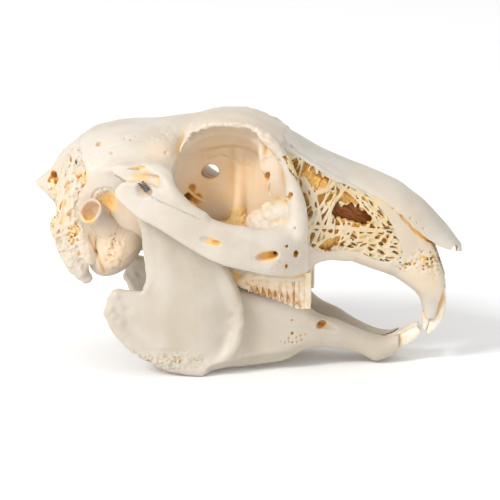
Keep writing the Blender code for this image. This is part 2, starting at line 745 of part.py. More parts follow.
def middle_wall():
    """A thin wall in the middle plane, from the back teeth forward."""
    bm = bmesh.new()
    bmesh.ops.create_cube(bm, size=1.0)
    for v in bm.verts:
        v.co = Vector((25.0 + v.co.x * 64.0, v.co.y * GAP, 30.0 + v.co.z * 70.0))
    return mesh_object("middle_wall", bm)


def halved(pair, name, seed):
    """Splits a pair of bones along the middle plane."""
    carve(pair, [middle_wall()])
    x, y, z = seed
    return parted(pair, {f"{name}_{side_name(side)}": (x, side * -y, z) for side in (RIGHT, LEFT)})


def skull_bones():
    """The upper skull, fused from its forms, opened, and parted along its sutures."""
    skull = joined("skull", skull_forms())
    remeshed(skull, 3)
    carve(skull, [
        across_head("cavity", NASAL_CAVITY),
        bulb("magnum", FORAMEN_MAGNUM, RIGHT),
        bulb("optic", OPTIC_FORAMEN, RIGHT),
    ])
    thinned(skull, SKULL_TRIANGLES)
    made_symmetric(skull)
    for side in (RIGHT, LEFT):
        pocket = lace_pocket(side)
        carve(skull, [pocket])
        carve(skull, lace_cutters(side))
        carve(skull, [
            bulb("capsule_room", BULLA, side, grow=EAR_ROOM, lean_deg=BULLA_LEAN_DEG, parts=16),
            rod("ear_room", EAR_TUBE, side, grow=EAR_ROOM),
            rod("incisor_room", UPPER_INCISOR, side, steps=2, sides=8, grow=GAP),
            rod("peg_room", PEG_TOOTH, side, steps=2, sides=8, grow=GAP),
            rod("palate_slot", INCISIVE_FORAMEN, side),
        ])
        edge = side * FAR_OUT
        carve(skull, [
            sheet("cut", JUGAL_SUTURE_BACK, side * 18.2, edge),
            sheet("cut", JUGAL_SUTURE_FRONT, side * 13.2, edge),
        ])
    carve(skull, [
        sheet("cut", NASAL_SUTURE, -FAR_OUT, FAR_OUT),
        sheet("cut", FRONTAL_SUTURE, -FAR_OUT, FAR_OUT),
        sheet("cut", MAXILLA_SUTURE, -13.8, 13.8),
        sheet("cut", PREMAXILLA_SUTURE, -FAR_OUT, FAR_OUT),
    ])
    bones = parted(skull, {
        "braincase": (-28.0, 0.0, 52.3),
        "frontal": (-4.0, 0.0, 55.0),
        "nasals": (28.0, 0.0, 41.0),
        "premaxillae": (38.0, 0.0, 16.0),
        "maxillae": (8.0, -8.9, 20.2),
        "zygomatic_right": (-7.5, -20.8, 30.0),
        "zygomatic_left": (-7.5, 20.8, 30.0),
    })
    bones.update(halved(bones.pop("nasals"), "nasal", (28.0, -3.0, 41.0)))
    bones.update(halved(bones.pop("premaxillae"), "premaxilla", (38.0, -5.0, 18.0)))
    bones.update(halved(bones.pop("maxillae"), "maxilla", (8.0, -8.9, 20.2)))
    for side in (RIGHT, LEFT):
        carve(bones[f"maxilla_{side_name(side)}"], cheek_teeth(UPPER_ROW, side, False), "UNION")
    return bones


def ear_capsules():
    """The hollow-looking bulb below each ear with the bony tube that leads up and out of it."""
    bones = {}
    for side in (RIGHT, LEFT):
        capsule = joined("capsule", [
            bulb("bulb_form", BULLA, side, lean_deg=BULLA_LEAN_DEG),
            rod("tube_form", EAR_TUBE, side, sides=16),
        ])
        remeshed(capsule, 2)
        thinned(capsule, BULLA_TRIANGLES)
        carve(capsule, [rod("ear_hole", EAR_HOLE, side, sides=10)])
        bones[f"bulla_{side_name(side)}"] = capsule
    return bones


def mirrored(obj, name):
    """A copy of a right-hand bone for the left."""
    bm = bmesh.new()
    bm.from_mesh(obj.data)
    for v in bm.verts:
        v.co.y = -v.co.y
    bmesh.ops.reverse_faces(bm, faces=bm.faces)
    mesh = bpy.data.meshes.new(name)
    bm.to_mesh(mesh)
    bm.free()
    copy = bpy.data.objects.new(name, mesh)
    bpy.context.scene.collection.objects.link(copy)
    return copy


def jaw_bones():
    """The two halves of the lower jaw, each with its row of cheek teeth."""
    jaw = joined("jaw", [
        one_side("blade_form", JAW_BLADE, RIGHT),
        one_side("angle_form", JAW_ANGLE, RIGHT),
        one_side("body_form", JAW_BODY, RIGHT),
        rod("rim_form", JAW_RIM, RIGHT),
        rod("neck_form", JAW_NECK, RIGHT),
        rod("condyle_form", JAW_CONDYLE, RIGHT),
    ])
    remeshed(jaw, 2)
    thinned(jaw, JAW_TRIANGLES)
    incisor_room = rod("incisor_room", LOWER_INCISOR, RIGHT, steps=2, sides=8, grow=GAP)
    carve(jaw, [middle_wall(), incisor_room])
    carve(jaw, cheek_teeth(LOWER_ROW, RIGHT, True), "UNION")
    return {"mandible_right": jaw, "mandible_left": mirrored(jaw, "mandible_left")}


def seat(objects):
    """Lowers everything until the jaw stands on the table."""
    floor = min(v.co.z for obj in objects for v in obj.data.vertices)
    for obj in objects:
        for v in obj.data.vertices:
            v.co.z -= floor


def main():
    for obj in list(bpy.data.objects):
        bpy.data.objects.remove(obj)
    bone = bone_material("bleached_bone", (0.86, 0.81, 0.72), 0.5)
    enamel = bone_material("tooth_enamel", (0.88, 0.83, 0.74), 0.3)
    steel = bone_material("spring_steel", (0.55, 0.55, 0.56), 0.3, 1.0)

    bones = skull_bones()
    bones.update(ear_capsules())
    bones.update(jaw_bones())
    for name, obj in bones.items():
        finish(obj, name, bone)
    for side in (RIGHT, LEFT):
        place = side_name(side)
        for name, rows in (("upper_incisor", UPPER_INCISOR), ("lower_incisor", LOWER_INCISOR), ("peg_tooth", PEG_TOOTH)):
            finish(rod(name, rows, side, steps=2, sides=8), f"{name}_{place}", enamel)
        finish(rod("spring", SPRING, side, steps=1, sides=8), f"spring_{place}", steel)
    seat(list(bpy.data.objects))


main()
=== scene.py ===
import math

import bpy
import numpy as np
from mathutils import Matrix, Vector


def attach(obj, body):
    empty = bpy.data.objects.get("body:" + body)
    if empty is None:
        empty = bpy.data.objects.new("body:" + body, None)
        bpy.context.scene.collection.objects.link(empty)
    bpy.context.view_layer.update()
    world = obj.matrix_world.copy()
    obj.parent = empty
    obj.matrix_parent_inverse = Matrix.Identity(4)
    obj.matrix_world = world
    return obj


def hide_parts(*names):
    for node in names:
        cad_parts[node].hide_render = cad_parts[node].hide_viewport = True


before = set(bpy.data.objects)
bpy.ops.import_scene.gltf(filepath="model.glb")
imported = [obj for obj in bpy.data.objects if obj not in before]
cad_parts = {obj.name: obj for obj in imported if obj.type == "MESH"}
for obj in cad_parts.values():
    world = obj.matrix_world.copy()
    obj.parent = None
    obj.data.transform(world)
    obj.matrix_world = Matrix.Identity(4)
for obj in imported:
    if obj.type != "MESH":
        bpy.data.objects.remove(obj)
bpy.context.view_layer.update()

mm = 0.001
middleX = -0.55  # the frame's origin, counted in the tables' millimetres
seatDrop = -0.3  # height of the jaw's lowest point in the tables

# A life-size rabbit skull, modelled like clay: every bone is a field of distances on a fine grid,
# forms are pressed in with soft joins, and the skin of the field becomes the mesh.
# Tables are in millimetres: x forward, y to the animal's left, z up. They give the right side, y < 0.

clayStep = 0.26  # grid of the large bones
toothStep = 0.15
openAir = 4.0  # the field of a new, empty clay
formReach = 2.2  # how far outside a form its distance is still written
cloudCells, seedCells = 32, 16  # the noises repeat after so many lumps
tiny, small = 1e-6, 1e-4


def tableAt(table, x):  # the columns of a size table at the places x, on smooth curves through its rows
    rows = np.array(table, dtype=np.float32)
    at = rows[:, 0]
    slopes = np.gradient(rows, at, axis=0)
    x = np.asarray(x, dtype=np.float32)
    i = np.clip(np.searchsorted(at, x) - 1, 0, len(at) - 2)
    wide = (at[i + 1] - at[i])[..., None]
    t = np.clip((x - at[i])[..., None] / wide, 0, 1)
    value = (
        rows[i] * (2 * t ** 3 - 3 * t ** 2 + 1) + rows[i + 1] * (3 * t ** 2 - 2 * t ** 3)
        + wide * (slopes[i] * (t ** 3 - 2 * t ** 2 + t) + slopes[i + 1] * (t ** 3 - t ** 2))
    )
    return np.moveaxis(value, -1, 0)[1:]


def capped(side, past):  # a distance with flat ends: `past` is how far a place is beyond the end
    return np.hypot(np.maximum(side, 0), np.maximum(past, 0)) + np.minimum(np.maximum(side, past), 0)


def fromOval(u, v, halfU, halfV, power):  # distance from an oval; u and v are shares of its half sizes
    ring = (u ** power + v ** power) ** (1 / power) + small
    slope = np.hypot(u ** (power - 1) / halfU, v ** (power - 1) / halfV) / ring ** (power - 1)
    return (ring - 1) / np.maximum(slope, 1 / np.maximum(halfU, halfV))


# Each form is a distance with the low and high corners of its box.
def acrossHead(table, power=2.4):  # rows: x, floor, roof, half width, share of the height where widest
    first, last = table[0][0], table[-1][0]

    def distance(x, y, z):
        low, high, half, wide = tableAt(table, np.clip(x, first, last))
        level = low + wide * (high - low)
        reach = np.where(z > level, high - level, level - low)
        side = fromOval(np.abs(y) / half, np.abs(z - level) / reach, half, reach, power)
        return capped(side, np.maximum(first - x, x - last))

    _, floors, roofs, halves, _ = zip(*table)
    return distance, (first, -max(halves), min(floors)), (last, max(halves), max(roofs))


def plate(table):  # rows: x, low y, low z, high y, high z, half thickness, outward bow if any
    table = [(*row, 0.0)[:7] for row in table]
    first, last = table[0][0], table[-1][0]

    def distance(x, y, z):
        lowY, lowZ, highY, highZ, half, bow = tableAt(table, np.clip(x, first, last))
        length = np.hypot(highY - lowY, highZ - lowZ)
        uy, uz = (highY - lowY) / length, (highZ - lowZ) / length
        along = (y - lowY) * uy + (z - lowZ) * uz
        across = (y - lowY) * uz - (z - lowZ) * uy
        end = np.minimum(half, length / 2)
        held = np.clip(along, end, length - end)
        across = across + bow * (1 - (2 * held / length - 1) ** 2)
        return capped(np.hypot(across, along - held) - half, np.maximum(first - x, x - last))

    ys = [row[k] for row in table for k in (1, 3)]
    zs = [row[k] for row in table for k in (2, 4)]
    thick = max(row[5] + abs(row[6]) for row in table)
    return distance, (first, min(ys) - thick, min(zs)), (last, max(ys) + thick, max(zs))


def rod(rows, steps=4, power=2.0, flat=False):  # rows: x, y, z, half size across the head, other half size
    counted = [(k, *row, *row[3:4])[:6] for k, row in enumerate(rows)]
    path = tableAt(counted, np.linspace(0, len(rows) - 1, (len(rows) - 1) * steps + 1)).T

    def distance(x, y, z):
        best = None
        for a, b in zip(path, path[1:]):
            run = b[:3] - a[:3]
            t = ((x - a[0]) * run[0] + (y - a[1]) * run[1] + (z - a[2]) * run[2]) / max(run @ run, tiny)
            t = np.clip(t, 0, 1)
            across, other = a[3] + t * (b[3] - a[3]), a[4] + t * (b[4] - a[4])
            u = np.abs(y - a[1] - t * run[1]) / across
            v = np.hypot(x - a[0] - t * run[0], z - a[2] - t * run[2]) / other
            near = fromOval(u, v, across, other, power)
            best = near if best is None else np.minimum(best, near)
        if flat:
            for end, before in ((path[0], path[1]), (path[-1], path[-2])):
                run = (end - before)[:3] / np.linalg.norm((end - before)[:3])
                beyond = (x - end[0]) * run[0] + (y - end[1]) * run[1] + (z - end[2]) * run[2]
                best = np.maximum(best, beyond)
        return best

    reach = path[:, 3:5].max(1)[:, None]
    return distance, (path[:, :3] - reach).min(0), (path[:, :3] + reach).max(0)


def ball(centre, radii, leanDeg=0.0):  # an ellipsoid, leaned about the Y axis
    lean = math.radians(leanDeg)

    def distance(x, y, z):
        dx, dy, dz = x - centre[0], y - centre[1], z - centre[2]
        u = (dx * math.cos(lean) - dz * math.sin(lean)) / radii[0]
        w = (dx * math.sin(lean) + dz * math.cos(lean)) / radii[2]
        v = dy / radii[1]
        ring = np.sqrt(u * u + v * v + w * w) + small
        slope = np.sqrt((u / radii[0]) ** 2 + (v / radii[1]) ** 2 + (w / radii[2]) ** 2) / ring
        return (ring - 1) / np.maximum(slope, 1 / max(radii))

    reach = max(radii) if leanDeg else np.array(radii)
    return distance, np.array(centre) - reach, np.array(centre) + reach


def softMax(a, b, soft):
    top = np.maximum(a, b)
    if soft:
        top = top + np.maximum(soft - np.abs(a - b), 0) ** 2 / (4 * soft)
    return top


def newClay(low, high, step):
    axes = [np.arange(math.floor(a / step), math.ceil(b / step) + 1) * step for a, b in zip(low, high)]
    axes = [axis.astype(np.float32) for axis in axes]  # zero is always on the grid
    return {"axes": axes, "step": step, "field": np.full([len(a) for a in axes], openAir, np.float32)}


def spread(x, y, z):  # three axes as arrays that fill a block together
    return x[:, None, None], y[None, :, None], z[None, None, :]


def window(clay, low, high):  # the part of the clay between two corners, and its grid
    cut = tuple(slice(*np.searchsorted(axis, (a, b))) for axis, a, b in zip(clay["axes"], low, high))
    return cut, spread(*(axis[part] for axis, part in zip(clay["axes"], cut)))


def press(clay, form, soft=0.0, away=False):  # joins a form on with a soft edge, or takes it away
    distance, low, high = form
    margin = formReach + soft
    cut, places = window(clay, np.array(low) - margin, np.array(high) + margin)
    kept = clay["field"][cut]
    if not kept.size:
        return
    made = distance(*places).astype(np.float32)
    clay["field"][cut] = softMax(kept, -made, soft) if away else -softMax(-kept, -made, soft)


def carve(clay, form, soft=0.0):
    press(clay, form, soft, away=True)


def cellOf(axis, step, places):  # the grid cell that each place lies in, and how far into it
    at = np.clip((places - axis[0]) / step, 0, len(axis) - 1.001)
    i = at.astype(np.int32)
    return i, at - i


def between(field, k, i, after, share):  # a block read between its layers along axis k
    share = share.reshape([-1 if n == k else 1 for n in range(3)])
    return np.take(field, i, axis=k) * (1 - share) + np.take(field, after, axis=k) * share


def sample(clay, points):  # the field at loose points
    points = np.asarray(points, dtype=np.float32).T
    base, share = zip(*(cellOf(axis, clay["step"], places) for axis, places in zip(clay["axes"], points)))
    total = 0
    for corner in range(8):
        bits = [(corner >> k) & 1 for k in range(3)]
        weight = 1
        for part, bit in zip(share, bits):
            weight = weight * (part if bit else 1 - part)
        total = total + weight * clay["field"][tuple(i + bit for i, bit in zip(base, bits))]
    return total


def slopeAt(clay, points, reach=None):  # the outward direction of the field at loose points
    reach = reach or clay["step"]
    out = np.empty_like(points)
    for k in range(3):
        aside = np.zeros(3, np.float32)
        aside[k] = reach
        out[:, k] = sample(clay, points + aside) - sample(clay, points - aside)
    return out / np.maximum(np.linalg.norm(out, axis=1, keepdims=True), tiny)


def finer(clay, low, high, step):  # a block of the clay on a finer grid
    block = newClay(low, high, step)
    field = clay["field"]
    for k, (axis, fine) in enumerate(zip(clay["axes"], block["axes"])):
        i, share = cellOf(axis, clay["step"], fine)
        field = between(field, k, i, i + 1, share)
    return {**block, "field": field.astype(np.float32)}


def clouds(x, y, z, size, seed):  # smooth random values from -1 to 1, `size` mm apart
    values = np.random.default_rng(seed).uniform(-1, 1, (cloudCells,) * 3).astype(np.float32)
    for k, place in enumerate((x, y, z)):
        at = np.asarray(place, np.float32).ravel() / size
        i = np.floor(at).astype(np.int32)
        share = at - i
        smooth = share * share * (3 - 2 * share)
        values = between(values, k, i % cloudCells, (i + 1) % cloudCells, smooth)
    return values


def cells(points, size, seed):  # distances to the nearest, second and third of scattered seeds
    jitter = np.random.default_rng(seed).uniform(0.08, 0.92, (seedCells,) * 3 + (3,)).astype(np.float32)
    spots = np.asarray(points, np.float32) / size
    base = np.floor(spots).astype(np.int32)
    near = [np.full(len(spots), 9.0, np.float32) for _ in range(3)]
    for step in np.ndindex(3, 3, 3):
        corner = base + np.array(step, np.int32) - 1
        gone = spots - corner - jitter[tuple((corner % seedCells).T)]
        gone = np.sqrt((gone * gone).sum(1))
        near[2] = np.minimum(near[2], np.maximum(near[1], gone))
        near[1] = np.minimum(near[1], np.maximum(near[0], gone))
        near[0] = np.minimum(near[0], gone)
    return [value * size for value in near]


def besideLine(line, x, z):  # distance in side view from a line, positive on the left of its run
    best = np.full(np.broadcast(x, z).shape, 1e3, np.float32)
    sign = np.ones_like(best)
    for (x0, z0), (x1, z1) in zip(line, line[1:]):
        runX, runZ = x1 - x0, z1 - z0
        length = math.hypot(runX, runZ)
        t = np.clip(((x - x0) * runX + (z - z0) * runZ) / length ** 2, 0, 1)
        cross = (runX * (z - z0) - runZ * (x - x0)) / length
        gone = np.hypot(x - x0 - t * runX, z - z0 - t * runZ)
        nearer = gone < best - small
        tied = (np.abs(gone - best) <= small) & (np.abs(cross) > np.abs(best) * 0.999)
        sign = np.where(nearer | tied, np.sign(cross), sign)
        best = np.minimum(best, gone)
    return best * sign


def insideOutline(outline, x, z):  # distance in side view from a closed outline, positive inside
    inside = np.zeros(np.broadcast(x, z).shape, bool)
    for (x0, z0), (x1, z1) in zip(outline, outline[1:] + outline[:1]):
        spans = (z0 > z) != (z1 > z)
        inside ^= spans & (x < (x1 - x0) * (z - z0) / ((z1 - z0) or tiny) + x0)
    away = np.abs(besideLine(outline + outline[:1], x, z))
    return np.where(inside, away, -away)


def inSideView(measure, line, places):  # a side-view distance, spread over a block
    return measure(line, places[0][:, :, 0], places[2][0])[:, None, :]


def onSide(clay, spots, startY=-22.8, mostSteps=260):  # side-view spots moved in until they meet the bone
    points = np.array([(x, startY, z) for x, z in spots], dtype=np.float32)
    met = np.zeros(len(points), bool)
    for _ in range(mostSteps):
        value = sample(clay, points)
        met |= value <= 0.02
        points = points + np.outer(np.where(met, 0, np.clip(value * 0.6, 0.05, 0.5)), (0, 1, 0))
    return points


def crossings(field, axis):  # where grid edges along an axis pass through the skin, and the cells around
    lower = [slice(1, -1)] * 3
    upper = [slice(1, -1)] * 3
    lower[axis], upper[axis] = slice(1, -2), slice(2, -1)
    inside = field < 0
    at = np.argwhere(inside[tuple(lower)] != inside[tuple(upper)]) + 1
    ahead = at.copy()
    ahead[:, axis] += 1
    first, second = field[tuple(at.T)], field[tuple(ahead.T)]
    met = at.astype(np.float32)
    met[:, axis] += first / (first - second)
    around = []
    for down, back in ((1, 1), (0, 1), (0, 0), (1, 0)):
        cell = at.copy()
        cell[:, (axis + 1) % 3] -= down
        cell[:, (axis + 2) % 3] -= back
        around.append((cell[:, 0] * field.shape[1] + cell[:, 1]) * field.shape[2] + cell[:, 2])
    return met, np.stack(around, axis=1), first > 0


def skinOf(clay):  # the skin of the field: one point in each cell it passes, joined by quads
    found = zip(*(crossings(clay["field"], axis) for axis in range(3)))
    met, ring, turned = (np.concatenate(part) for part in found)
    named, index = np.unique(ring, return_inverse=True)
    index = index.reshape(ring.shape)
    count = np.bincount(index.ravel(), minlength=len(named))
    points = np.stack([
        np.bincount(index.ravel(), weights=np.repeat(met[:, k], 4), minlength=len(named)) / count
        for k in range(3)
    ], axis=1)
    points = points * clay["step"] + np.array([axis[0] for axis in clay["axes"]])
    index[turned] = index[turned][:, ::-1]
    return points.astype(np.float32), index


def withoutCrumbs(points, quads, least=150):  # drops the islands of fewer than `least` points
    label = np.arange(len(points))
    while True:
        lowest = label[quads].min(axis=1)
        joined = label.copy()
        for k in range(4):
            np.minimum.at(joined, quads[:, k], lowest)
        joined = joined[joined]
        if (joined == label).all():
            break
        label = joined
    kept = np.bincount(label, minlength=len(label))[label] >= least
    order = np.cumsum(kept) - 1
    return points[kept], order[quads[kept[quads[:, 0]]]]


def settle(clay, points):  # draws the points onto the true skin
    most = 0.6 * clay["step"]
    for _ in range(2):
        value = np.clip(sample(clay, points), -most, most)
        points = points - slopeAt(clay, points) * value[:, None]
    return points


feelers = ((0.5, 0.3), (1.1, 0.35), (2.0, 0.35))  # how far each reaches out, and what it counts for


def shelter(clay, points, normals):  # 0 on open bone, 1 deep in a crevice
    hidden = 0
    for reach, share in feelers:
        value = sample(clay, points + normals * reach)
        hidden = hidden + share * (1 - np.clip(value / reach, 0, 1))
    return hidden


def addObject(name, data):
    made = bpy.data.objects.new(name, data)
    bpy.context.scene.collection.objects.link(made)
    return made


def makePiece(name, points, quads, normals, values, material, mirror=False):
    points = (points - np.array((middleX, 0, seatDrop), np.float32)) * mm
    if mirror:
        points = points * np.array((1, -1, 1), np.float32)
        normals = normals * np.array((1, -1, 1), np.float32)
        quads = quads[:, ::-1]
    mesh = bpy.data.meshes.new(name)
    mesh.vertices.add(len(points))
    mesh.vertices.foreach_set("co", points.astype(np.float32).ravel())
    mesh.loops.add(quads.size)
    mesh.loops.foreach_set("vertex_index", quads.astype(np.int32).ravel())
    mesh.polygons.add(len(quads))
    mesh.polygons.foreach_set("loop_start", np.arange(0, quads.size, 4, dtype=np.int32))
    mesh.update(calc_edges=True)
    mesh.shade_smooth()
    mesh.normals_split_custom_set_from_vertices(normals.tolist())
    for key, numbers in values.items():
        attribute = mesh.attributes.new(key, "FLOAT", "POINT")
        attribute.data.foreach_set("value", np.asarray(numbers, np.float32))
    mesh.materials.append(material)
    return addObject(name, mesh)


def register(piece, node):
    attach(piece, "root")
    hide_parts(node)


def linear(code):  # an sRGB hex colour as linear light
    parts = [int(code[k:k + 2], 16) / 255 for k in (1, 3, 5)]
    return tuple(c / 12.92 if c <= 0.04045 else ((c + 0.055) / 1.055) ** 2.4 for c in parts) + (1.0,)


def newMaterial(name):
    material = bpy.data.materials.new(name)
    material.use_nodes = True
    return material, material.node_tree, material.node_tree.nodes["Principled BSDF"]


def addNode(tree, kind, settings=None, **links):  # one shader node; a link is a value or (node, output)
    node = tree.nodes.new(kind)
    for key, value in (settings or {}).items():
        setattr(node, key, value)
    for key, value in links.items():
        numbered = key[0] == "i" and key[1:].isdigit()
        socket = node.inputs[int(key[1:]) if numbered else key.replace("_", " ")]
        if isinstance(value, tuple) and isinstance(value[0], bpy.types.Node):
            tree.links.new(value[0].outputs[value[1]], socket)
        else:
            socket.default_value = value
    return node


# Bleached bone: boiled, degreased and whitened in peroxide, then dried. It is matt with a faint
# waxy gleam and a little see-through, and old fat stays as tan and orange in its crevices and pores.
# Far below the uncut surface the colour runs to dark brown: partly old fat, partly painted shade in deep
# hollows.
# Its pale warm tint for thin bone is painted light: it brightens hollows and thin walls in place of light
# shining through and bouncing.
boneLook = {
    "bright": "#D3CABD", "shade": "#C9BDAC", "stain": "#E6C48A", "fat": "#EEC47C", "amber": "#DDA44C",
    "deep": "#8A4C1A", "thin": "#EFD2AC", "roughness": 0.5, "stainFrom": 0.3, "mottleMm": 9.0,
    "patchMm": 2.4, "grainMm": 0.45, "glowMm": 1.2, "amberMm": (0.4, 1.3), "deepMm": (1.4, 2.8),
    "poreMm": 1.3, "pores": 0.5,
}
# The spongy wall of the snout: hair-fine struts whose marrow fat was left in, golden between them, and dark
# brown deep down: partly fat, partly painted shade in the deep pits.
latticeLook = {
    **boneLook, "bright": "#D6C8AE", "shade": "#CFB98F", "amber": "#EDB557", "deep": "#9C5218",
    "patchMm": 1.2, "amberMm": (0.2, 1.0), "deepMm": (2.7, 4.0),
}
toothLook = {**boneLook, "pores": 0.0, "deepMm": (1.5, 3.0)}
# Cheek teeth: worn enamel columns with cement between them, stained by plant food to orange-brown
# in their furrows. A dull gleam.
cheekLook = {
    **toothLook, "bright": "#EFE2CC", "shade": "#E6D0AA", "stain": "#B3741F", "fat": "#B8791F",
    "amber": "#B87A34", "deep": "#8A5422", "thin": "#DCC5A4", "roughness": 0.4, "stainFrom": 0.16,
    "mottleMm": 3.0, "patchMm": 1.4, "grainMm": 0.4, "glowMm": 0.5,
}
# Incisors: smooth living-grown enamel over dentine, ivory white and waxy, with fine lines along it.
incisorLook = {
    **toothLook, "bright": "#EDE4D7", "shade": "#E0D0B8", "stain": "#D09A58", "fat": "#D9A860",
    "amber": "#C8904C", "deep": "#A8743C", "thin": "#E0CDB0", "roughness": 0.3, "stainFrom": 0.34,
    "mottleMm": 4.0, "patchMm": 1.8, "grainMm": 0.8, "glowMm": 0.6,
}
boneIor = 1.55  # bone mineral and enamel alike
scatter = (1.0, 0.65, 0.4)  # red light runs furthest inside


def boneMaterial(name, look):
    material, tree, surface = newMaterial(name)
    where = addNode(tree, "ShaderNodeTexCoord")

    def noise(sizeMm, detail=3.0):  # one lump of the noise is about sizeMm wide
        return addNode(
            tree, "ShaderNodeTexNoise", Vector=(where, "Object"), Scale=1 / (sizeMm * mm), Detail=detail,
            Roughness=0.55,
        )

    def reading(key):  # a number that the mesh carries at each point
        return addNode(tree, "ShaderNodeAttribute", {"attribute_name": key})

    def blend(share, base, top):
        return addNode(tree, "ShaderNodeMix", {"data_type": "RGBA"}, i0=share, i6=base, i7=top)

    def ramp(value, low, high, most=1.0):
        return addNode(
            tree, "ShaderNodeMapRange", {"interpolation_type": "SMOOTHSTEP"}, Value=value,
            From_Min=low, From_Max=high, To_Max=most,
        )

    def plus(a, b, scale, shift):  # a + (b * scale + shift)
        part = addNode(tree, "ShaderNodeMath", {"operation": "MULTIPLY_ADD"}, i0=b, i1=scale, i2=shift)
        return addNode(tree, "ShaderNodeMath", {"operation": "ADD"}, i0=a, i1=(part, 0))

    mottle = ramp((noise(look["mottleMm"], 4.0), "Fac"), 0.35, 0.68)
    colour = blend((mottle, 0), linear(look["bright"]), linear(look["shade"]))
    # painted glow: blends in the pale warm tint where the spots say, in place of light through thin bone and
    # bounced in hollows
    colour = blend((reading("thin"), "Fac"), (colour, 2), linear(look["thin"]))
    patch = noise(look["patchMm"])
    sheltered = plus((reading("hidden"), "Fac"), (patch, "Fac"), 0.5, -0.25)
    soaked = plus((reading("grease"), "Fac"), (patch, "Fac"), 0.9, -0.45)
    sunken = plus((reading("depth"), "Fac"), (noise(look["patchMm"] / 4), "Fac"), 0.8, -0.4)
    for tint, amount, (low, high), most in (
        ("stain", sheltered, (look["stainFrom"], look["stainFrom"] + 0.5), 0.9),
        ("fat", soaked, (0.15, 0.85), 0.85), ("amber", sunken, look["amberMm"], 0.85),
        # dark brown deepest below the uncut surface: partly old fat, partly painted shade in deep hollows
        ("deep", sunken, look["deepMm"], 0.95),
    ):
        colour = blend((ramp((amount, 0), low, high, most), 0), (colour, 2), linear(look[tint]))
    # fine blood vessel pores, in patches: small tan pricks
    seeds = addNode(tree, "ShaderNodeTexVoronoi", Vector=(where, "Object"), Scale=1 / (look["poreMm"] * mm))
    prick = ramp((seeds, "Distance"), 0.16, 0.06)
    porous = ramp((noise(look["poreMm"] * 5), "Fac"), 0.5, 0.62, look["pores"])
    pores = addNode(tree, "ShaderNodeMath", {"operation": "MULTIPLY"}, i0=(prick, 0), i1=(porous, 0))
    colour = blend((pores, 0), (colour, 2), linear(look["stain"]))
    gleam = ramp((patch, "Fac"), 0.3, 0.7)
    gleam.inputs["To Min"].default_value = look["roughness"] - 0.08
    gleam.inputs["To Max"].default_value = look["roughness"] + 0.1
    height = plus((noise(look["grainMm"], 5.0), "Fac"), (pores, 0), -1.2, 0.0)
    bump = addNode(tree, "ShaderNodeBump", Height=(height, 0), Strength=0.5, Distance=0.1 * mm)
    for node, output, socket in ((colour, 2, "Base Color"), (gleam, 0, "Roughness"), (bump, 0, "Normal")):
        tree.links.new(node.outputs[output], surface.inputs[socket])
    surface.inputs["IOR"].default_value = boneIor
    surface.inputs["Subsurface Weight"].default_value = 0.45
    surface.inputs["Subsurface Radius"].default_value = scatter
    surface.inputs["Subsurface Scale"].default_value = look["glowMm"] * mm
    return material


# Spring steel: wire drawn hard and left bare. Dark grey and satin, with fine drawing lines.
steelLook = {"dark": "#3C3C40", "light": "#9A9AA0", "roughness": (0.2, 0.4), "lineMm": 0.3}


def springMaterial():
    steel, tree, surface = newMaterial("drawnSpringSteel")
    where = addNode(tree, "ShaderNodeTexCoord")
    scale = 1 / (steelLook["lineMm"] * mm)
    lines = addNode(tree, "ShaderNodeTexNoise", Vector=(where, "Object"), Scale=scale, Detail=3.0)
    smooth, rough = steelLook["roughness"]
    worn = addNode(tree, "ShaderNodeMapRange", Value=(lines, "Fac"), To_Min=smooth, To_Max=rough)
    tone = addNode(
        tree, "ShaderNodeMix", {"data_type": "RGBA"}, i0=(lines, "Fac"),
        i6=linear(steelLook["dark"]), i7=linear(steelLook["light"]),
    )
    tree.links.new(tone.outputs[2], surface.inputs["Base Color"])
    tree.links.new(worn.outputs[0], surface.inputs["Roughness"])
    surface.inputs["Metallic"].default_value = 1.0
    return steel


bone = boneMaterial("bleachedBone", boneLook)
# the jaw takes a darker, greyer copy of the bone colours
jawTint = boneMaterial("bleachedJawBone", {**boneLook, "bright": "#CAC1B3", "shade": "#C1B6A4"})
# painted shade for the snout and the ear capsule: darker, greyer copies of the bone colours
snoutPaintedShade = boneMaterial("snoutBoneWithPaintedShade", {**boneLook, "bright": "#CBC6BD", "shade": "#C2BAAC"})
capsulePaintedShade = boneMaterial("capsuleBoneWithPaintedShade", {**boneLook, "bright": "#B8B0AB", "shade": "#AEA199"})
spongyBone = boneMaterial("fattySpongyBone", latticeLook)
cheekEnamel = boneMaterial("stainedCheekEnamel", cheekLook)
frontEnamel = boneMaterial("ivoryIncisorEnamel", incisorLook)
springSteel = springMaterial()
print("materials")


skullBox = (-48.5, -23.6, 8.0), (47.8, 0.0, 57.0)  # low and high corner of the clay
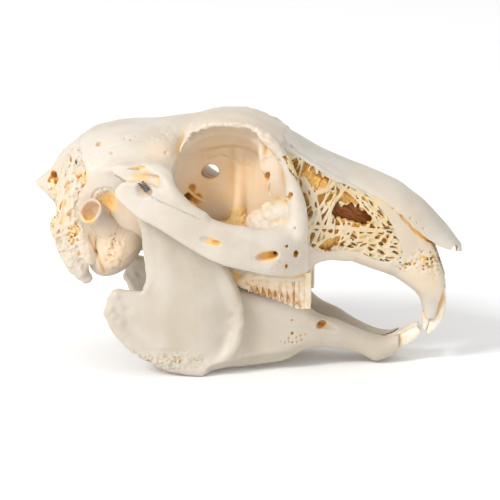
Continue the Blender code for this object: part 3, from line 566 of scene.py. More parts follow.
# Forms: kind, softness of the join in mm, and what the kind takes. They are pressed in this order.
headForms = {
    "braincase": (acrossHead, 0, [
        (-41.2, 30, 41, 3.5, 0.4), (-40.2, 25.5, 44, 9, 0.42), (-38, 23.8, 47, 12, 0.44),
        (-35, 23, 49.7, 13.2, 0.5), (-30, 23, 51.5, 13.8, 0.55), (-25, 23.5, 52.1, 14.3, 0.56),
        (-20, 24.5, 52.3, 13.8, 0.58), (-16, 26, 52.7, 11.6, 0.58), (-13, 27, 53, 7.6, 0.6),
        (-11, 28, 53, 4.4, 0.62), (-9.6, 30, 51, 1.8, 0.62),
    ]),
    "occipitalShield": (acrossHead, 2, [
        (-46.7, 37.8, 38.6, 1, 0.5), (-45.4, 36.8, 39.5, 2.8, 0.5), (-43.2, 35.2, 41.4, 5.4, 0.5),
        (-41, 33.5, 44.9, 7.4, 0.5), (-38.8, 33, 46.4, 8.4, 0.5), (-36, 34, 48, 8, 0.5),
    ]),
    "forehead": (acrossHead, 1.5, [
        (-20, 43, 50.9, 6, 0.45), (-16.5, 44, 52.2, 8, 0.45), (-12, 45.5, 53.3, 7.2, 0.5),
        (-8, 46.5, 54.4, 6.6, 0.5), (-4, 47, 54.6, 6.6, 0.5), (0, 46.5, 54, 7.4, 0.5),
        (4, 44.5, 52.3, 8.2, 0.45), (8, 43, 50, 8.6, 0.4), (12, 42, 47.6, 8.8, 0.35),
        (16, 40, 44.8, 8, 0.4),
    ], 3),
    "orbitWall": (acrossHead, 1.5, [
        (-16, 25, 48, 8, 0.45), (-13, 26, 48.2, 5.4, 0.42), (-10.5, 26.5, 48.6, 3, 0.4),
        (-8, 27, 49, 1.7, 0.4), (-3, 27, 49, 1.5, 0.4), (0, 27, 49, 2.6, 0.4), (2.4, 26, 49.5, 4.8, 0.5),
        (4, 26, 49.5, 7.6, 0.6), (6, 25, 49, 9.4, 0.6), (9, 24.5, 47, 10.6, 0.55),
    ]),
    "snout": (acrossHead, 1.5, [
        (6, 25, 49.4, 7.4, 0.45), (9, 24, 48.2, 9.4, 0.45), (11.5, 23.6, 47.2, 11, 0.42),
        (13.5, 23.2, 46.2, 11.6, 0.4), (17, 23.2, 44.8, 11, 0.4), (22, 22.3, 42.8, 9.7, 0.4),
        (27, 20.4, 40.9, 8.5, 0.4), (31, 18.9, 38.8, 7.6, 0.42), (35, 16.6, 35.6, 6.9, 0.4),
        (38, 14.8, 30.5, 6.3, 0.4), (40.4, 13.6, 25.6, 5.7, 0.45), (41.6, 13.2, 22, 5.2, 0.45),
        (42.5, 13.6, 18.6, 4.4, 0.5),
    ], 2.8),
    "nasalRoof": (acrossHead, 0.6, [
        (1, 46.4, 50.2, 5, 0.2), (5, 46.4, 50.4, 6.8, 0.2), (8, 46.4, 49.9, 7.8, 0.2),
        (13.7, 43.6, 46.7, 8.8, 0.15), (19, 40.7, 44.5, 8.6, 0.15), (24.3, 37.9, 42.6, 8.1, 0.15),
        (29.2, 35.2, 40.6, 7.4, 0.15), (32.4, 32.7, 39.1, 6.9, 0.15), (35, 30, 37.2, 6.5, 0.15),
        (37.8, 27.6, 35, 6, 0.15), (40.2, 26.2, 32.5, 5.5, 0.15), (43.2, 25.1, 29.1, 4.8, 0.2),
        (45, 24.7, 26.6, 4.1, 0.3), (45.8, 24.6, 25.5, 3.2, 0.5),
    ], 2.2),
    "palate": (acrossHead, 1, [
        (1, 23.4, 26.5, 6, 0.5), (3, 22.4, 27, 8, 0.5), (8, 22, 27, 8.5, 0.5), (13, 22.6, 27, 8, 0.5),
    ]),
}
orbitBowl = ((-4.9, -11.6, 42.2), (9.6, 9.7, 10.2))
sideForms = {
    "browShelf": (plate, 0.8, [
        (-14.1, -10.4, 46.6, -9.8, 47.8, 0.6), (-12.8, -10.6, 49.4, -7.4, 51.2, 0.6),
        (-10.4, -10.7, 51.6, -4.6, 52.8, 0.6), (-7.7, -10.7, 52.7, -3.5, 53.4, 0.6),
        (-4.6, -10.7, 52.9, -3.5, 53.6, 0.6), (-1, -10.6, 52.7, -3.5, 53.2, 0.65),
        (1.4, -10.5, 52.1, -4, 52.4, 0.7), (3.4, -10.4, 50.9, -4.5, 51.4, 0.8),
        (5.4, -10.6, 49.6, -5, 50.2, 1), (7.4, -10.8, 47.9, -5, 49.2, 1),
    ]),
    # the ledge over the jaw joint
    "templeLedge": (plate, 1.2, [
        (-31, -12, 43.4, -12.8, 43.2, 0.4), (-27, -12, 44.6, -15.2, 43.9, 0.8),
        (-24, -11.5, 45.2, -18, 44.3, 0.9), (-20, -11, 45.6, -18.7, 44.8, 1),
        (-17, -9.5, 45.4, -19, 44.4, 1.1), (-15, -8.5, 44.8, -19.4, 43.2, 1),
    ]),
    "septumColumn": (rod, 1.6, [
        (-2.1, -1, 46, 1.1), (-2.1, -1.7, 40, 1.1), (-2.2, -2.3, 35, 1.3), (-2.6, -3.2, 29, 2),
    ]),
    "toothSockets": (plate, 1.5, [
        (-6, -8.6, 21.4, -8.6, 27, 1.2), (-3.4, -8.6, 20, -8.6, 27, 2.1),
        (-0.6, -8.6, 18.8, -8.8, 30.5, 2.8), (4, -8.7, 20.4, -9.4, 34.2, 3.6),
        (8, -8.9, 20.2, -9.8, 35.8, 3.8), (11, -8.7, 20.2, -9.6, 33, 3.2), (12.8, -8.4, 22, -9, 29, 2),
    ]),
    "arch": (plate, 1.2, [
        (-26.8, -18.6, 38.8, -18.7, 40.6, 0.7), (-25.4, -19.1, 37.7, -19.2, 42, 0.9),
        (-22, -20, 34.9, -19.9, 42.6, 1.1, -0.2), (-18, -20.6, 32.9, -20.2, 41.6, 1.2, -0.3),
        (-14, -21, 30.5, -20.4, 40, 1.3, -0.4), (-11, -21, 28.6, -20.4, 37.6, 1.4, -0.5),
        (-7.5, -20.8, 26.6, -20.3, 35.4, 1.4, -0.6), (-4, -20.3, 25, -20, 34, 1.5, -0.6),
        (0, -19, 23.8, -19.4, 33.1, 1.8, -0.6), (4, -17.2, 22.5, -18.6, 32.3, 2.4, -0.5),
        (8, -14.8, 21.7, -16.4, 32.6, 3.4, -0.4), (11, -11.8, 21.3, -13.4, 34, 3.4, -0.2),
        (13.2, -10.2, 21.6, -11.2, 33, 2.4),
    ]),
    "toothLedge": (rod, 0.7, [
        (-1.5, -11, 19.6, 0.8), (1.5, -11.6, 20.9, 0.8), (6, -11.7, 20.6, 0.9), (11, -11.2, 20.3, 0.8),
        (12.7, -9.4, 20.2, 0.7),
    ]),
    "cheekCorner": (rod, 1, [
        (11.6, -7.6, 21.6, 2), (13.4, -7.6, 24.2, 2), (17, -7, 25.4, 2), (21, -6.4, 25, 1.8),
    ]),
    "tuberosity": (rod, 0.6, [
        (-6.4, -9.6, 22.4, 0.6), (-3.6, -10.6, 20.4, 0.8), (-1, -11, 18.7, 0.8), (0.4, -11, 18.2, 0.6),
    ]),
    "pterygoid": (plate, 0.8, [
        (-17.5, -5, 23.5, -4.5, 27, 0.6), (-15, -5, 20.8, -4.2, 28.5, 0.6),
        (-10, -4.6, 22.4, -3.6, 30, 0.7), (-5, -4.6, 23.6, -3.4, 31, 1), (1, -5, 24, -4, 30, 1.6),
    ]),
    "orbitPillar": (rod, 1.2, [
        (3.2, -10.4, 50.8, 1), (5.6, -11.4, 49, 1.2), (8, -12.2, 46.2, 1.3), (9.4, -12.8, 43, 1.4),
        (10.1, -13.6, 39.8, 1.6, 1.7), (11, -14.4, 36, 2, 1.9), (11.2, -15, 31, 2.4, 2.2),
    ]),
    "tearBone": (ball, 1.8, (6.6, -8.4, 43.6), (3.2, 2.5, 5.8)),
    "tearRidge": (rod, 1, [(3.2, -9, 50.6, 0.9), (3.2, -9.2, 47, 0.8), (3.4, -9, 43.6, 0.7)]),
    "squamosalRoot": (rod, 1.4, [
        (-21, -12, 44.6, 3.8, 1.6), (-20, -14.8, 44.6, 3.6, 1.1), (-18.2, -17.2, 44.2, 2.6, 1.1),
        (-16.2, -19.2, 42.8, 1.7, 1.4), (-14.6, -20.4, 40.4, 1.6, 1.4), (-11.6, -20.6, 37.2, 1.2, 1.3),
        (-8.2, -20.5, 35.4, 0.8, 1),
    ]),
    # the sheet of bone between the ledge and the arch
    "rootWeb": (plate, 0.8, [
        (-27.4, -14.4, 42.8, -14.2, 43.6, 0.4), (-25.8, -16.4, 42.4, -15.8, 43.9, 0.5),
        (-24.4, -17.7, 41.8, -16.9, 44, 0.6), (-22, -18.4, 40.6, -17.4, 44.6, 0.8),
        (-19, -18.8, 39.6, -17.8, 44.8, 0.9), (-16, -19.4, 38.6, -18.6, 44.2, 0.9),
    ]),
    "paroccipital": (rod, 1.5, [
        (-38.8, -10.4, 30, 2.6, 2.8), (-37.4, -11, 25.5, 2.1, 2.4), (-35.8, -11.3, 22, 1.6, 1.9),
        (-34.4, -11.1, 19.6, 1.1, 1.3),
    ]),
    "mastoidRidge": (rod, 1, [(-35.8, -11.6, 31, 1.8), (-34.2, -12, 27, 2), (-33.2, -11.6, 24.2, 1.5)]),
    "incisorSocket": (rod, 1.6, [
        (35.6, -3, 21.4, 3.2, 3.4), (38.2, -2.6, 18.4, 2.9, 3.2), (39.4, -2.4, 15.6, 2.6, 2.9),
        (39.7, -2.2, 13.4, 2.25, 2.6), (39.5, -2.1, 11.2, 2, 1.9), (39.3, -2.1, 9.9, 1.7, 1.1),
    ]),
    "mastoid": (ball, 1.5, (-36.6, -10.2, 31.5), (3.8, 3.4, 8)),
    "neckKnob": (ball, 0.8, (-39.8, -4, 26.2), (1.9, 2.1, 3.4)),
}
rootBulge = [  # the roots of the cheek teeth swell the orbit's floor
    ((2.4, -11.2, 32.4), (2.6, 2.8, 2.6)), ((5.4, -11.6, 33.6), (3, 3, 3.3)),
    ((8, -12.2, 34.6), (2.4, 2.6, 2.8)), ((4.2, -12.8, 31.4), (3.4, 2.4, 2)),
    ((7.4, -13.4, 31.6), (2.6, 2.4, 2)),
]
earHole = [
    (-31.7, -14.4, 34.2, 1), (-32, -15.2, 34.8, 1.75), (-32.5, -16.4, 35.5, 2.1),
    (-33.9, -19.6, 37.4, 2.3),
]
openings = {  # the ones that the skull really has, taken away
    "noseHollow": (acrossHead, 0.4, [
        (15, 32, 43.5, 1.2, 0.5), (20, 29, 42, 2, 0.5), (27, 26, 39.6, 2.6, 0.5),
        (32, 23.6, 37.4, 4.2, 0.5), (36, 21.5, 35, 4.6, 0.5), (40, 19, 31.2, 3.9, 0.5),
        (43, 17.2, 27.6, 3.7, 0.5), (46.5, 16, 23.8, 3.9, 0.5), (49, 15, 21.5, 3.9, 0.5),
    ]),
    "neckOpening": (ball, 0.6, (-42, 0, 29.6), (11, 3.9, 3.9)),
    "opticOpening": (ball, 0.4, (-8.6, 0, 41.2), (2, 5, 1.6)),
    "earHole": (rod, 0, earHole),
    "incisiveForamen": (rod, 0.4, [
        (14.5, -2.4, 25, 1.2, 1.8), (18, -2.7, 23.8, 1.8, 3), (24, -2.3, 21, 1.6, 3),
        (30, -1.5, 17.5, 0.8, 2.4),
    ]),
    # bares the front of the upper incisor
    "incisorFront": (rod, 0.4, [
        (43.1, -3.6, 18.2, 2.4, 0.6), (43.4, -3.6, 15.4, 2.8, 2), (43.2, -3.6, 11.6, 3, 2.4),
        (42.6, -3.6, 8.6, 3, 2.4),
    ]),
}

# the front teeth: x, y, z, half sizes across and along the head
upperIncisor = [
    (36, -1.75, 20.6, 1.45, 1.5), (39.4, -1.75, 18.4, 1.45, 1.6), (41, -1.75, 15, 1.45, 1.6),
    (41.1, -1.75, 11.6, 1.4, 1.45), (40.3, -1.7, 8.9, 1.4, 1.2), (39, -1.7, 6.4, 1.35, 0.6),
]
pegTooth = [
    (36.8, -1.9, 17, 0.9, 0.9), (38.2, -1.9, 13, 0.9, 0.9), (38.5, -1.9, 10, 0.9, 0.9),
    (38.2, -1.9, 7.2, 0.8, 0.4),
]
lowerIncisor = [
    (28.6, -1.75, 3.2, 1.3, 1.4), (31.5, -1.75, 3.7, 1.35, 1.5), (34.2, -1.75, 5.2, 1.35, 1.45),
    (35.9, -1.75, 6.3, 1.35, 1.25), (37, -1.75, 7.2, 1.25, 0.75),
]
incisorGroove = [
    (42.3, -1.5, 18.6, 0.25), (42.75, -1.5, 15, 0.25), (42.65, -1.5, 11.6, 0.25), (41.6, -1.45, 8.4, 0.2),
]

# sutures in side view; every bone lies on one side of them, and they waver a little
nasalSuture = [
    (7.1, 49.5), (13.5, 45.2), (19, 42), (24.3, 38.9), (29.2, 36.2), (32.4, 33.4), (35, 30.6), (37.8, 28),
    (40.3, 26.3), (44, 24), (50, 21),
]
frontalSuture = [(-14.9, 60), (-14.9, 46.2), (-9, 45), (2, 44.6), (5.6, 46.4), (7.4, 49.2), (7.2, 60)]
maxillaSuture = [(1.8, 60), (1.65, 45), (0.6, 36), (-3.4, 31.5), (-4, 10)]
premaxillaSuture = [
    (6.8, 49.4), (8.2, 47.4), (10, 45.7), (15.9, 42.3), (21.2, 39.1), (25.6, 35.4), (29, 32), (31.6, 28),
    (31.2, 23.6), (29, 18), (28, 8),
]
jugalSutureBack = [(-21.5, 47.5), (-21.2, 40.8), (-17.5, 38.8), (-12.5, 36.7), (-8.6, 34.9), (-2.4, 38.8)]
jugalSutureFront = [(2.6, 42), (1.6, 28), (2.4, 15)]
occiputSuture = [
    (-36, 60), (-36.2, 48), (-33.9, 43.5), (-33.6, 40.5), (-35.6, 38), (-35.4, 33), (-33.4, 27.5),
    (-31.9, 20), (-31.9, 10),
]
wobble = {"sizeMm": 0.9, "reachMm": 0.16, "overlapMm": 0.2, "seed": 5}
shownSutures = [  # line, low and high corner of the stretch that shows, half width, depth
    (nasalSuture, (9, -12, 24), (33, -2, 49), 0.12, 0.25),
    (nasalSuture, (32.5, -12, 25.4), (41, -2, 34), 0.28, 0.6),
    (frontalSuture, (3, -12, 44), (9, 0.1, 56), 0.07, 0.1),
    (premaxillaSuture, (5, -14, 42), (15, -4, 48), 0.07, 0.2),
    (jugalSutureBack, (-22, -23, 34), (-8.4, -17, 42), 0.12, 0.35),
    (occiputSuture, (-37, -15, 36), (-32, 0.1, 52), 0.09, 0.25),
]


def socketOf(tooth, room=0.15):
    return rod([(x, y, z, a + room, b + room) for x, y, z, a, b in tooth], power=2.6)


def pressAll(clay, forms, away=False):
    for kind, soft, *shape in forms.values():
        press(clay, kind(*shape), soft, away)


def makeSkullClay():
    clay = newClay(*skullBox, clayStep)
    pressAll(clay, headForms)
    carve(clay, ball(*orbitBowl), 0.8)
    pressAll(clay, sideForms)
    for swell in rootBulge:
        press(clay, ball(*swell), 0.7)
    return clay


def hollowSkull(clay):
    pressAll(clay, openings, away=True)
    for tooth in (upperIncisor, pegTooth):
        carve(clay, socketOf(tooth))


def faded(clay, centre, radii, edge):  # an ellipsoid's window, its grid, and a share that fades outward
    cut, places = window(clay, np.array(centre) - radii, np.array(centre) + radii)
    gone = sum(((place - c) / r) ** 2 for place, c, r in zip(places, centre, radii))
    return cut, places, np.clip(edge * (1 - gone), 0, 1)


def pointsAt(places, picked):  # the grid points that a mask picks
    return np.stack([place[picked] for place in np.broadcast_arrays(*places)], axis=1)


# Textures, each in an ellipsoid: size of a lump, cord or pore in mm, height or depth, seed of its noise.
def patchy(places, base, sizeMm, seed, least=0.0):
    return np.clip(base + 0.9 * clouds(*places, sizeMm, seed), least, 1)


def roughen(clay, centre, radii, sizeMm, heightMm, seed):
    cut, places, fade = faded(clay, centre, radii, 1.5)
    clay["field"][cut] += fade * heightMm * clouds(*places, sizeMm, seed)


def spongy(clay, centre, radii, poreMm, deepMm, seed):  # open cells, as where bone is thin and old
    cut, places, fade = faded(clay, centre, radii, 1.8)
    fade = fade * patchy(places, 0.75, 3.0, seed + 1)
    kept = clay["field"][cut]
    near = (np.abs(kept) < deepMm + 0.4) & (fade > 0.05)
    first = cells(pointsAt(places, near), poreMm * 2.3, seed)[0]
    hole = np.maximum(poreMm * (0.35 + 0.75 * fade[near]) - first, -9.0)
    kept[near] = softMax(kept[near], np.minimum(hole, deepMm + kept[near]), 0.15)


def grained(points, leanX, leanZ, stretch):  # points for cells that are long in a side-view direction
    along = points[:, 0] * leanX + points[:, 2] * leanZ
    across = points[:, 0] * leanZ - points[:, 2] * leanX
    return np.stack([across, points[:, 1], along / stretch], axis=1)


def fibrous(clay, centre, radii, sizeMm, stretch, heightMm, seed):  # cords of bone that run up and down
    cut, places, fade = faded(clay, centre, radii, 1.6)
    fade = fade * patchy(places, 0.8, 3.4, seed + 1, 0.15)
    kept = clay["field"][cut]
    near = (np.abs(kept) < 1.2) & (fade > 0.02)
    points = pointsAt(places, near)
    bent = points + 0.5 * np.sin(points[:, [1, 2, 0]] * 0.9 + seed)
    first, second, _ = cells(grained(bent, 0.25, 0.97, stretch), sizeMm, seed)
    seam = np.clip(1 - (second - first) / (0.6 * sizeMm), 0, 1)
    kept[near] += fade[near] * heightMm * (0.9 - 1.5 * seam)


def textureAll(clay, rows):
    for texture, *values in rows:
        texture(clay, *values)


def swells(clay, seed):  # the faint unevenness of any bone
    places = spread(*clay["axes"])
    clay["field"] += 0.05 * clouds(*places, 3.1, seed) + 0.03 * clouds(*places, 1.1, seed + 1)


def sutureWaver(places):
    return clouds(*places, wobble["sizeMm"], wobble["seed"]) * wobble["reachMm"]


def furrow(clay, hull, line, low, high, halfWidth, deep):  # a suture that shows on the skin
    cut, places = window(clay, low, high)
    beside = inSideView(besideLine, line, places) + sutureWaver(places)
    room = np.minimum(halfWidth - np.abs(beside), deep + hull["field"][cut])
    clay["field"][cut] = softMax(clay["field"][cut], room, 0.1)


def groove(clay, radius, sink, spots):  # a furrow along side-view spots
    path = onSide(clay, spots)
    rows = [(*point, radius) for point in path + np.array((0, sink, 0))]
    carve(clay, rod(rows, steps=3), radius * 0.4)


pits = [  # small openings: x, z, half sizes along x and z, how deep
    (-31.4, 48.4, 0.5, 0.6, 0.8), (-28.4, 46.9, 0.28, 0.25, 0.5), (-25.8, 49.6, 0.3, 0.28, 0.5),
    (-24.4, 49.4, 0.32, 0.25, 0.5), (-23.6, 50.2, 0.25, 0.2, 0.4), (-21.4, 45.3, 0.9, 0.25, 0.8),
    (-17, 47, 0.3, 0.3, 0.5), (-14.5, 44.5, 0.35, 0.25, 0.5), (-41.7, 40.8, 1, 1.2, 2.4),
    (-41.2, 39.2, 0.6, 0.6, 1.8), (-42.7, 39.4, 0.6, 0.5, 1.4), (6.5, 27.2, 0.5, 0.45, 2.4),
    (8.9, 28.8, 0.36, 0.34, 1.2), (10.7, 26.7, 0.5, 0.8, 1.8), (8.8, 24.4, 0.32, 0.5, 1.1),
    (6.9, 24.9, 0.2, 0.2, 0.4), (7.6, 25.6, 0.2, 0.2, 0.4), (6, 24.3, 0.2, 0.2, 0.4),
    (9.2, 38.4, 0.5, 0.5, 1.4), (33, 33.2, 0.28, 0.25, 0.4), (36, 31.6, 0.25, 0.2, 0.4),
    (31, 34.8, 0.3, 0.22, 0.4), (34.6, 32.6, 0.22, 0.3, 0.4), (37.4, 30.4, 0.25, 0.25, 0.4),
    (7, 46, 0.3, 0.3, 0.6), (10.6, 32.5, 0.22, 0.22, 0.5),
]
deepPits = [  # openings that lie deeper in the head: x, y, z, half sizes x, y, z
    (-3.3, -7.6, 54, 0.35, 0.4, 0.5), (1.1, -11, 52.8, 0.4, 0.5, 0.4), (9.6, -15, 39.2, 0.5, 1.4, 0.5),
    (-12.6, -6.6, 36.2, 1.7, 2.6, 1.5), (-10.8, -5, 35.6, 1.5, 2.4, 1.4), (-12, -6, 38.2, 1.1, 2, 1),
    (-9.6, -4, 37.2, 0.7, 1.6, 0.6),
]
tearSlit = ((4.1, -9.4, 41.5), (0.6, 3.2, 1.7), 24)  # the mouth of the tear duct
furrows = [  # in side view: half width, how far it is sunk, and its course
    (0.24, 0, [(-12.1, 44.4), (-8.8, 44.3), (-6.3, 44.9), (-4.7, 44.3), (-2.7, 43.6), (-0.2, 42.8)]),
    (0.26, 0.1, [(4.8, 40.2), (4.8, 38), (5.7, 36.6), (6.6, 37)]),
    (0.45, 0.15, [(-37.5, 46.4), (-36.5, 45.3), (-35.9, 43.8), (-35.7, 41.9), (-34.7, 41), (-34.1, 40.4)]),
    (0.25, 0.05, [(-32.2, 37.6), (-31.9, 38.7), (-30.5, 39.6), (-28.4, 39.6), (-27.5, 38.4)]),
    (0.4, 0.3, [(-33.2, 29), (-32.6, 27.6), (-31.9, 25.6), (-31.4, 24.4)]),
    (0.14, 0, [(-33.6, 45.6), (-31.5, 44.6), (-28.6, 44.6), (-25.6, 45.6)]),
    (0.12, 0, [(-12, 52.4), (-16, 50.6), (-21, 49.6), (-26, 48.8), (-31, 47)]),
]
boneBridges = [  # thin struts across the holes at the back of the orbit
    [(-13.2, -6.8, 38.6, 0.35), (-11.4, -5.6, 36.6, 0.35), (-9.6, -4.4, 35.2, 0.4)],
    [(-14.2, -8, 36.6, 0.3), (-12.6, -7.4, 36, 0.25), (-11.2, -6.4, 34.6, 0.35)],
]
rootSlot = [  # the slot between the ledge and the arch
    (-25.4, -20.2, 42.6, 1.6, 0.4), (-23, -20.4, 43.1, 1.7, 0.6), (-20.4, -20.5, 43.4, 1.9, 0.75),
    (-18, -20.8, 43.2, 1.9, 0.75),
]
skullHollows = [  # centre, half sizes, lean in degrees, softness of the edge
    ((-29.6, -14.3, 36.9), (2.4, 1.4, 2.7), 0, 0.3),  # beside the ear tube
    ((-6.9, -22.2, 30.5), (2.4, 1.5, 0.85), 16, 0.25), ((-5.6, -21.8, 30.1), (1.4, 1.6, 0.55), 16, 0.2),
    ((4.8, -20.4, 26.9), (2.3, 2.2, 1.15), -10, 0.4), ((6, -19.8, 27.1), (1.4, 2.2, 0.95), -10, 0.4),
    ((-41.7, -7.4, 40.3), (1.5, 1.6, 1.9), -20, 0.4), ((44.2, -3.6, 25.7), (0.7, 1.6, 0.6), 0, 0.15),
    ((-20.6, -22.2, 41), (2.3, 2.2, 2.2), 0, 0.5), ((-4.5, -9.6, 50.6), (7, 3.8, 1.5), 0, 0.8),
]
skullCords = [  # centre, half sizes, size, stretch and height of the cords, seed
    ((-29.6, -13.6, 36.8), (2.8, 2.5, 3.2), 0.55, 4, 0.4, 19), ((0.5, -9, 30.6), (6, 6, 4), 1, 1.3, 0.5, 20),
]
skullLumps = [  # centre, half sizes, size and height of the lumps, seed
    ((4.8, -11.5, 33.5), (6.5, 4.5, 5), 1.1, 0.42, 11), ((4.8, -11.5, 33), (6, 4.5, 4.4), 0.6, 0.3, 29),
    ((-1, -5, 31), (5, 5, 3), 0.6, 0.35, 30), ((-3, -6, 30.5), (6, 6, 3.6), 1.2, 0.4, 12),
    ((-10.5, -11.2, 50), (7.5, 1.6, 6), 0.5, 0.5, 13), ((0, -11.2, 52.5), (8, 1.6, 4), 0.6, 0.28, 28),
    ((3.5, -11.6, 50.4), (4, 2.4, 3), 1, 0.4, 14), ((4, -10.5, 21), (12, 3.5, 2.6), 0.9, 0.3, 15),
    ((-39, -9, 36), (8, 7.5, 17), 1.6, 0.5, 16), ((38, -6, 24), (6, 3, 5), 1, 0.2, 17),
    ((-17.5, -9, 51), (5, 4, 3), 0.6, 0.16, 18),
]
skullPores = [  # spongy patches: centre, half sizes, size and depth of the pores, seed
    ((37.4, -6, 23.8), (3.6, 3.4, 3.6), 0.36, 0.7, 27), ((39.6, -5.2, 21.8), (2.2, 3.4, 3), 0.36, 0.55, 26),
    ((33.6, -6.8, 22.4), (2.6, 3, 1.6), 0.3, 0.7, 24),
]
greaseSpots = [  # fat that has soaked through: x, y, z, reach, strength, share that shows on open bone
    (-31.4, -10.8, 48.4, 1.4, 1, 0.1), (-41.6, -7, 40.4, 3.2, 1, 0.5), (-34.8, -12.5, 43, 3.4, 1, 0.25),
    (-33, -13.5, 41, 2, 1, 0.3), (5.2, -19, 26.8, 3.2, 1, 0.2), (9.3, -12.2, 39, 1.4, 1, 0.2),
    (1, -9, 31.5, 5.6, 0.9, 0.5), (-3, -4.5, 31.6, 5.4, 1, 0.8), (9.2, -12.2, 34.4, 2, 1, 0.4),
    (-7, -2, 39.5, 9, 0.62, 0.6), (0, -4, 41, 7, 0.45, 0.6), (-12, -5.6, 36.4, 5.4, 1, 0.6),
    (-21, -17.4, 43.4, 3.8, 0.8, 0.35), (-6.4, -21.2, 30.4, 2.6, 1, 0.35), (4, -7, 39.4, 2.8, 1, 0.3),
    (38, -5.6, 24, 5, 0.9, 0.1), (-37.5, -12, 24, 3.4, 0.9, 0.2), (-36, -12.4, 31, 4.2, 0.9, 0.2),
    (-29, -13.4, 36.4, 4.4, 0.8, 0.8), (-2.5, -11, 20, 3.6, 0.8, 0.5), (1, -11.6, 20.2, 3, 0.6, 0.3),
    (-40, -9, 34, 12, 0.9, 0.2), (36, -7, 29, 5, 0.8, 0.1), (24, -9, 33, 12, 0.8, 0),
    (-32.6, -15.2, 33.8, 2.6, 1, 0.9), (-28, -13, 25, 3.4, 0.8, 0.1), (-30.5, -12.5, 24.5, 2, 0.8, 0.2),
    (-32.6, -16.8, 34.2, 2.6, 1, 1), (-32.2, -13.4, 26.6, 2, 1, 0.2), (-18, -19.6, 42.8, 1.2, 0.5, 0.4),
    (7.2, -15, 33, 3, 0.7, 0.2),
]
toothLines = [  # the glue and fat along the lines where the front teeth leave the bone
    [(32.8, -2.8, 6.3), (32.6, -3.1, 5), (32.4, -3, 3.4), (31.8, -2.4, 2.4)],
    [(38, -3.3, 11.4), (39, -3.3, 9.8), (40.7, -3.3, 11.1), (41.6, -3.3, 13.7), (42.1, -3.3, 14.9),
     (42.2, -3.2, 16.9)],
]
# food stain between the lobes of the upper cheek teeth, above their chewing edge
biteLine = [(-0.6, -10.9, 18.2), (5, -10.9, 17.1), (10.4, -10.9, 16.4), (11.4, -10.9, 15)]
paintedGlowSpots = [  # painted glow, a pale warm tint in place of light shining through thin bone and bouncing in hollows: x, y, z, reach, strength
    (-4, -6, 40, 16, 0.95), (38, -6, 21, 9, 0.5), (-18, -13, 47, 5, 0.4), (-26, -6, 22, 9, 0.5),
    (3, -8, 20, 8, 0.6), (26, -3, 30, 16, 0.4), (-21, -10, 33, 10, 0.7), (-28, -12, 27, 10, 0.7),
    (-32.2, -15.4, 34.8, 3.4, 1), (-38, -8, 34, 14, 0.4),
]


def along(line, gap):  # points every `gap` mm on a course of straight runs
    line = np.array(line)
    at = np.append(0, np.cumsum(np.linalg.norm(np.diff(line, axis=0), axis=1)))
    return np.stack([np.interp(np.arange(0, at[-1], gap), at, line[:, k]) for k in range(3)], axis=1)


greaseSpots += [(*spot, 0.75, 1.0, 0.8) for line in toothLines for spot in along(line, 0.35)]
greaseSpots += [(*spot, 1.7, 1.0, 0.12) for spot in along(biteLine, 0.8)]


def detailSkull(clay):
    mouths = onSide(clay, [(x, z) for x, z, *_ in pits])
    for (x, y, z), (*_, halfX, halfZ, deep) in zip(mouths, pits):
        carve(clay, ball((x, y + deep / 4, z), (halfX, deep, halfZ)), 0.15)
    for x, y, z, *half in deepPits:
        carve(clay, ball((x, y, z), half), 0.18)
    carve(clay, ball(*tearSlit), 0.2)
    for bridge in boneBridges:
        press(clay, rod(bridge), 0.3)
    for row in furrows:
        groove(clay, *row)
    carve(clay, rod(rootSlot), 0.3)
    for centre, radii, leanDeg, soft in skullHollows:
        carve(clay, ball(centre, radii, leanDeg), soft)
    for row in skullCords:
        fibrous(clay, *row)
    for row in skullLumps:
        roughen(clay, *row)
    for row in skullPores:
        spongy(clay, *row)
    swells(clay, 21)


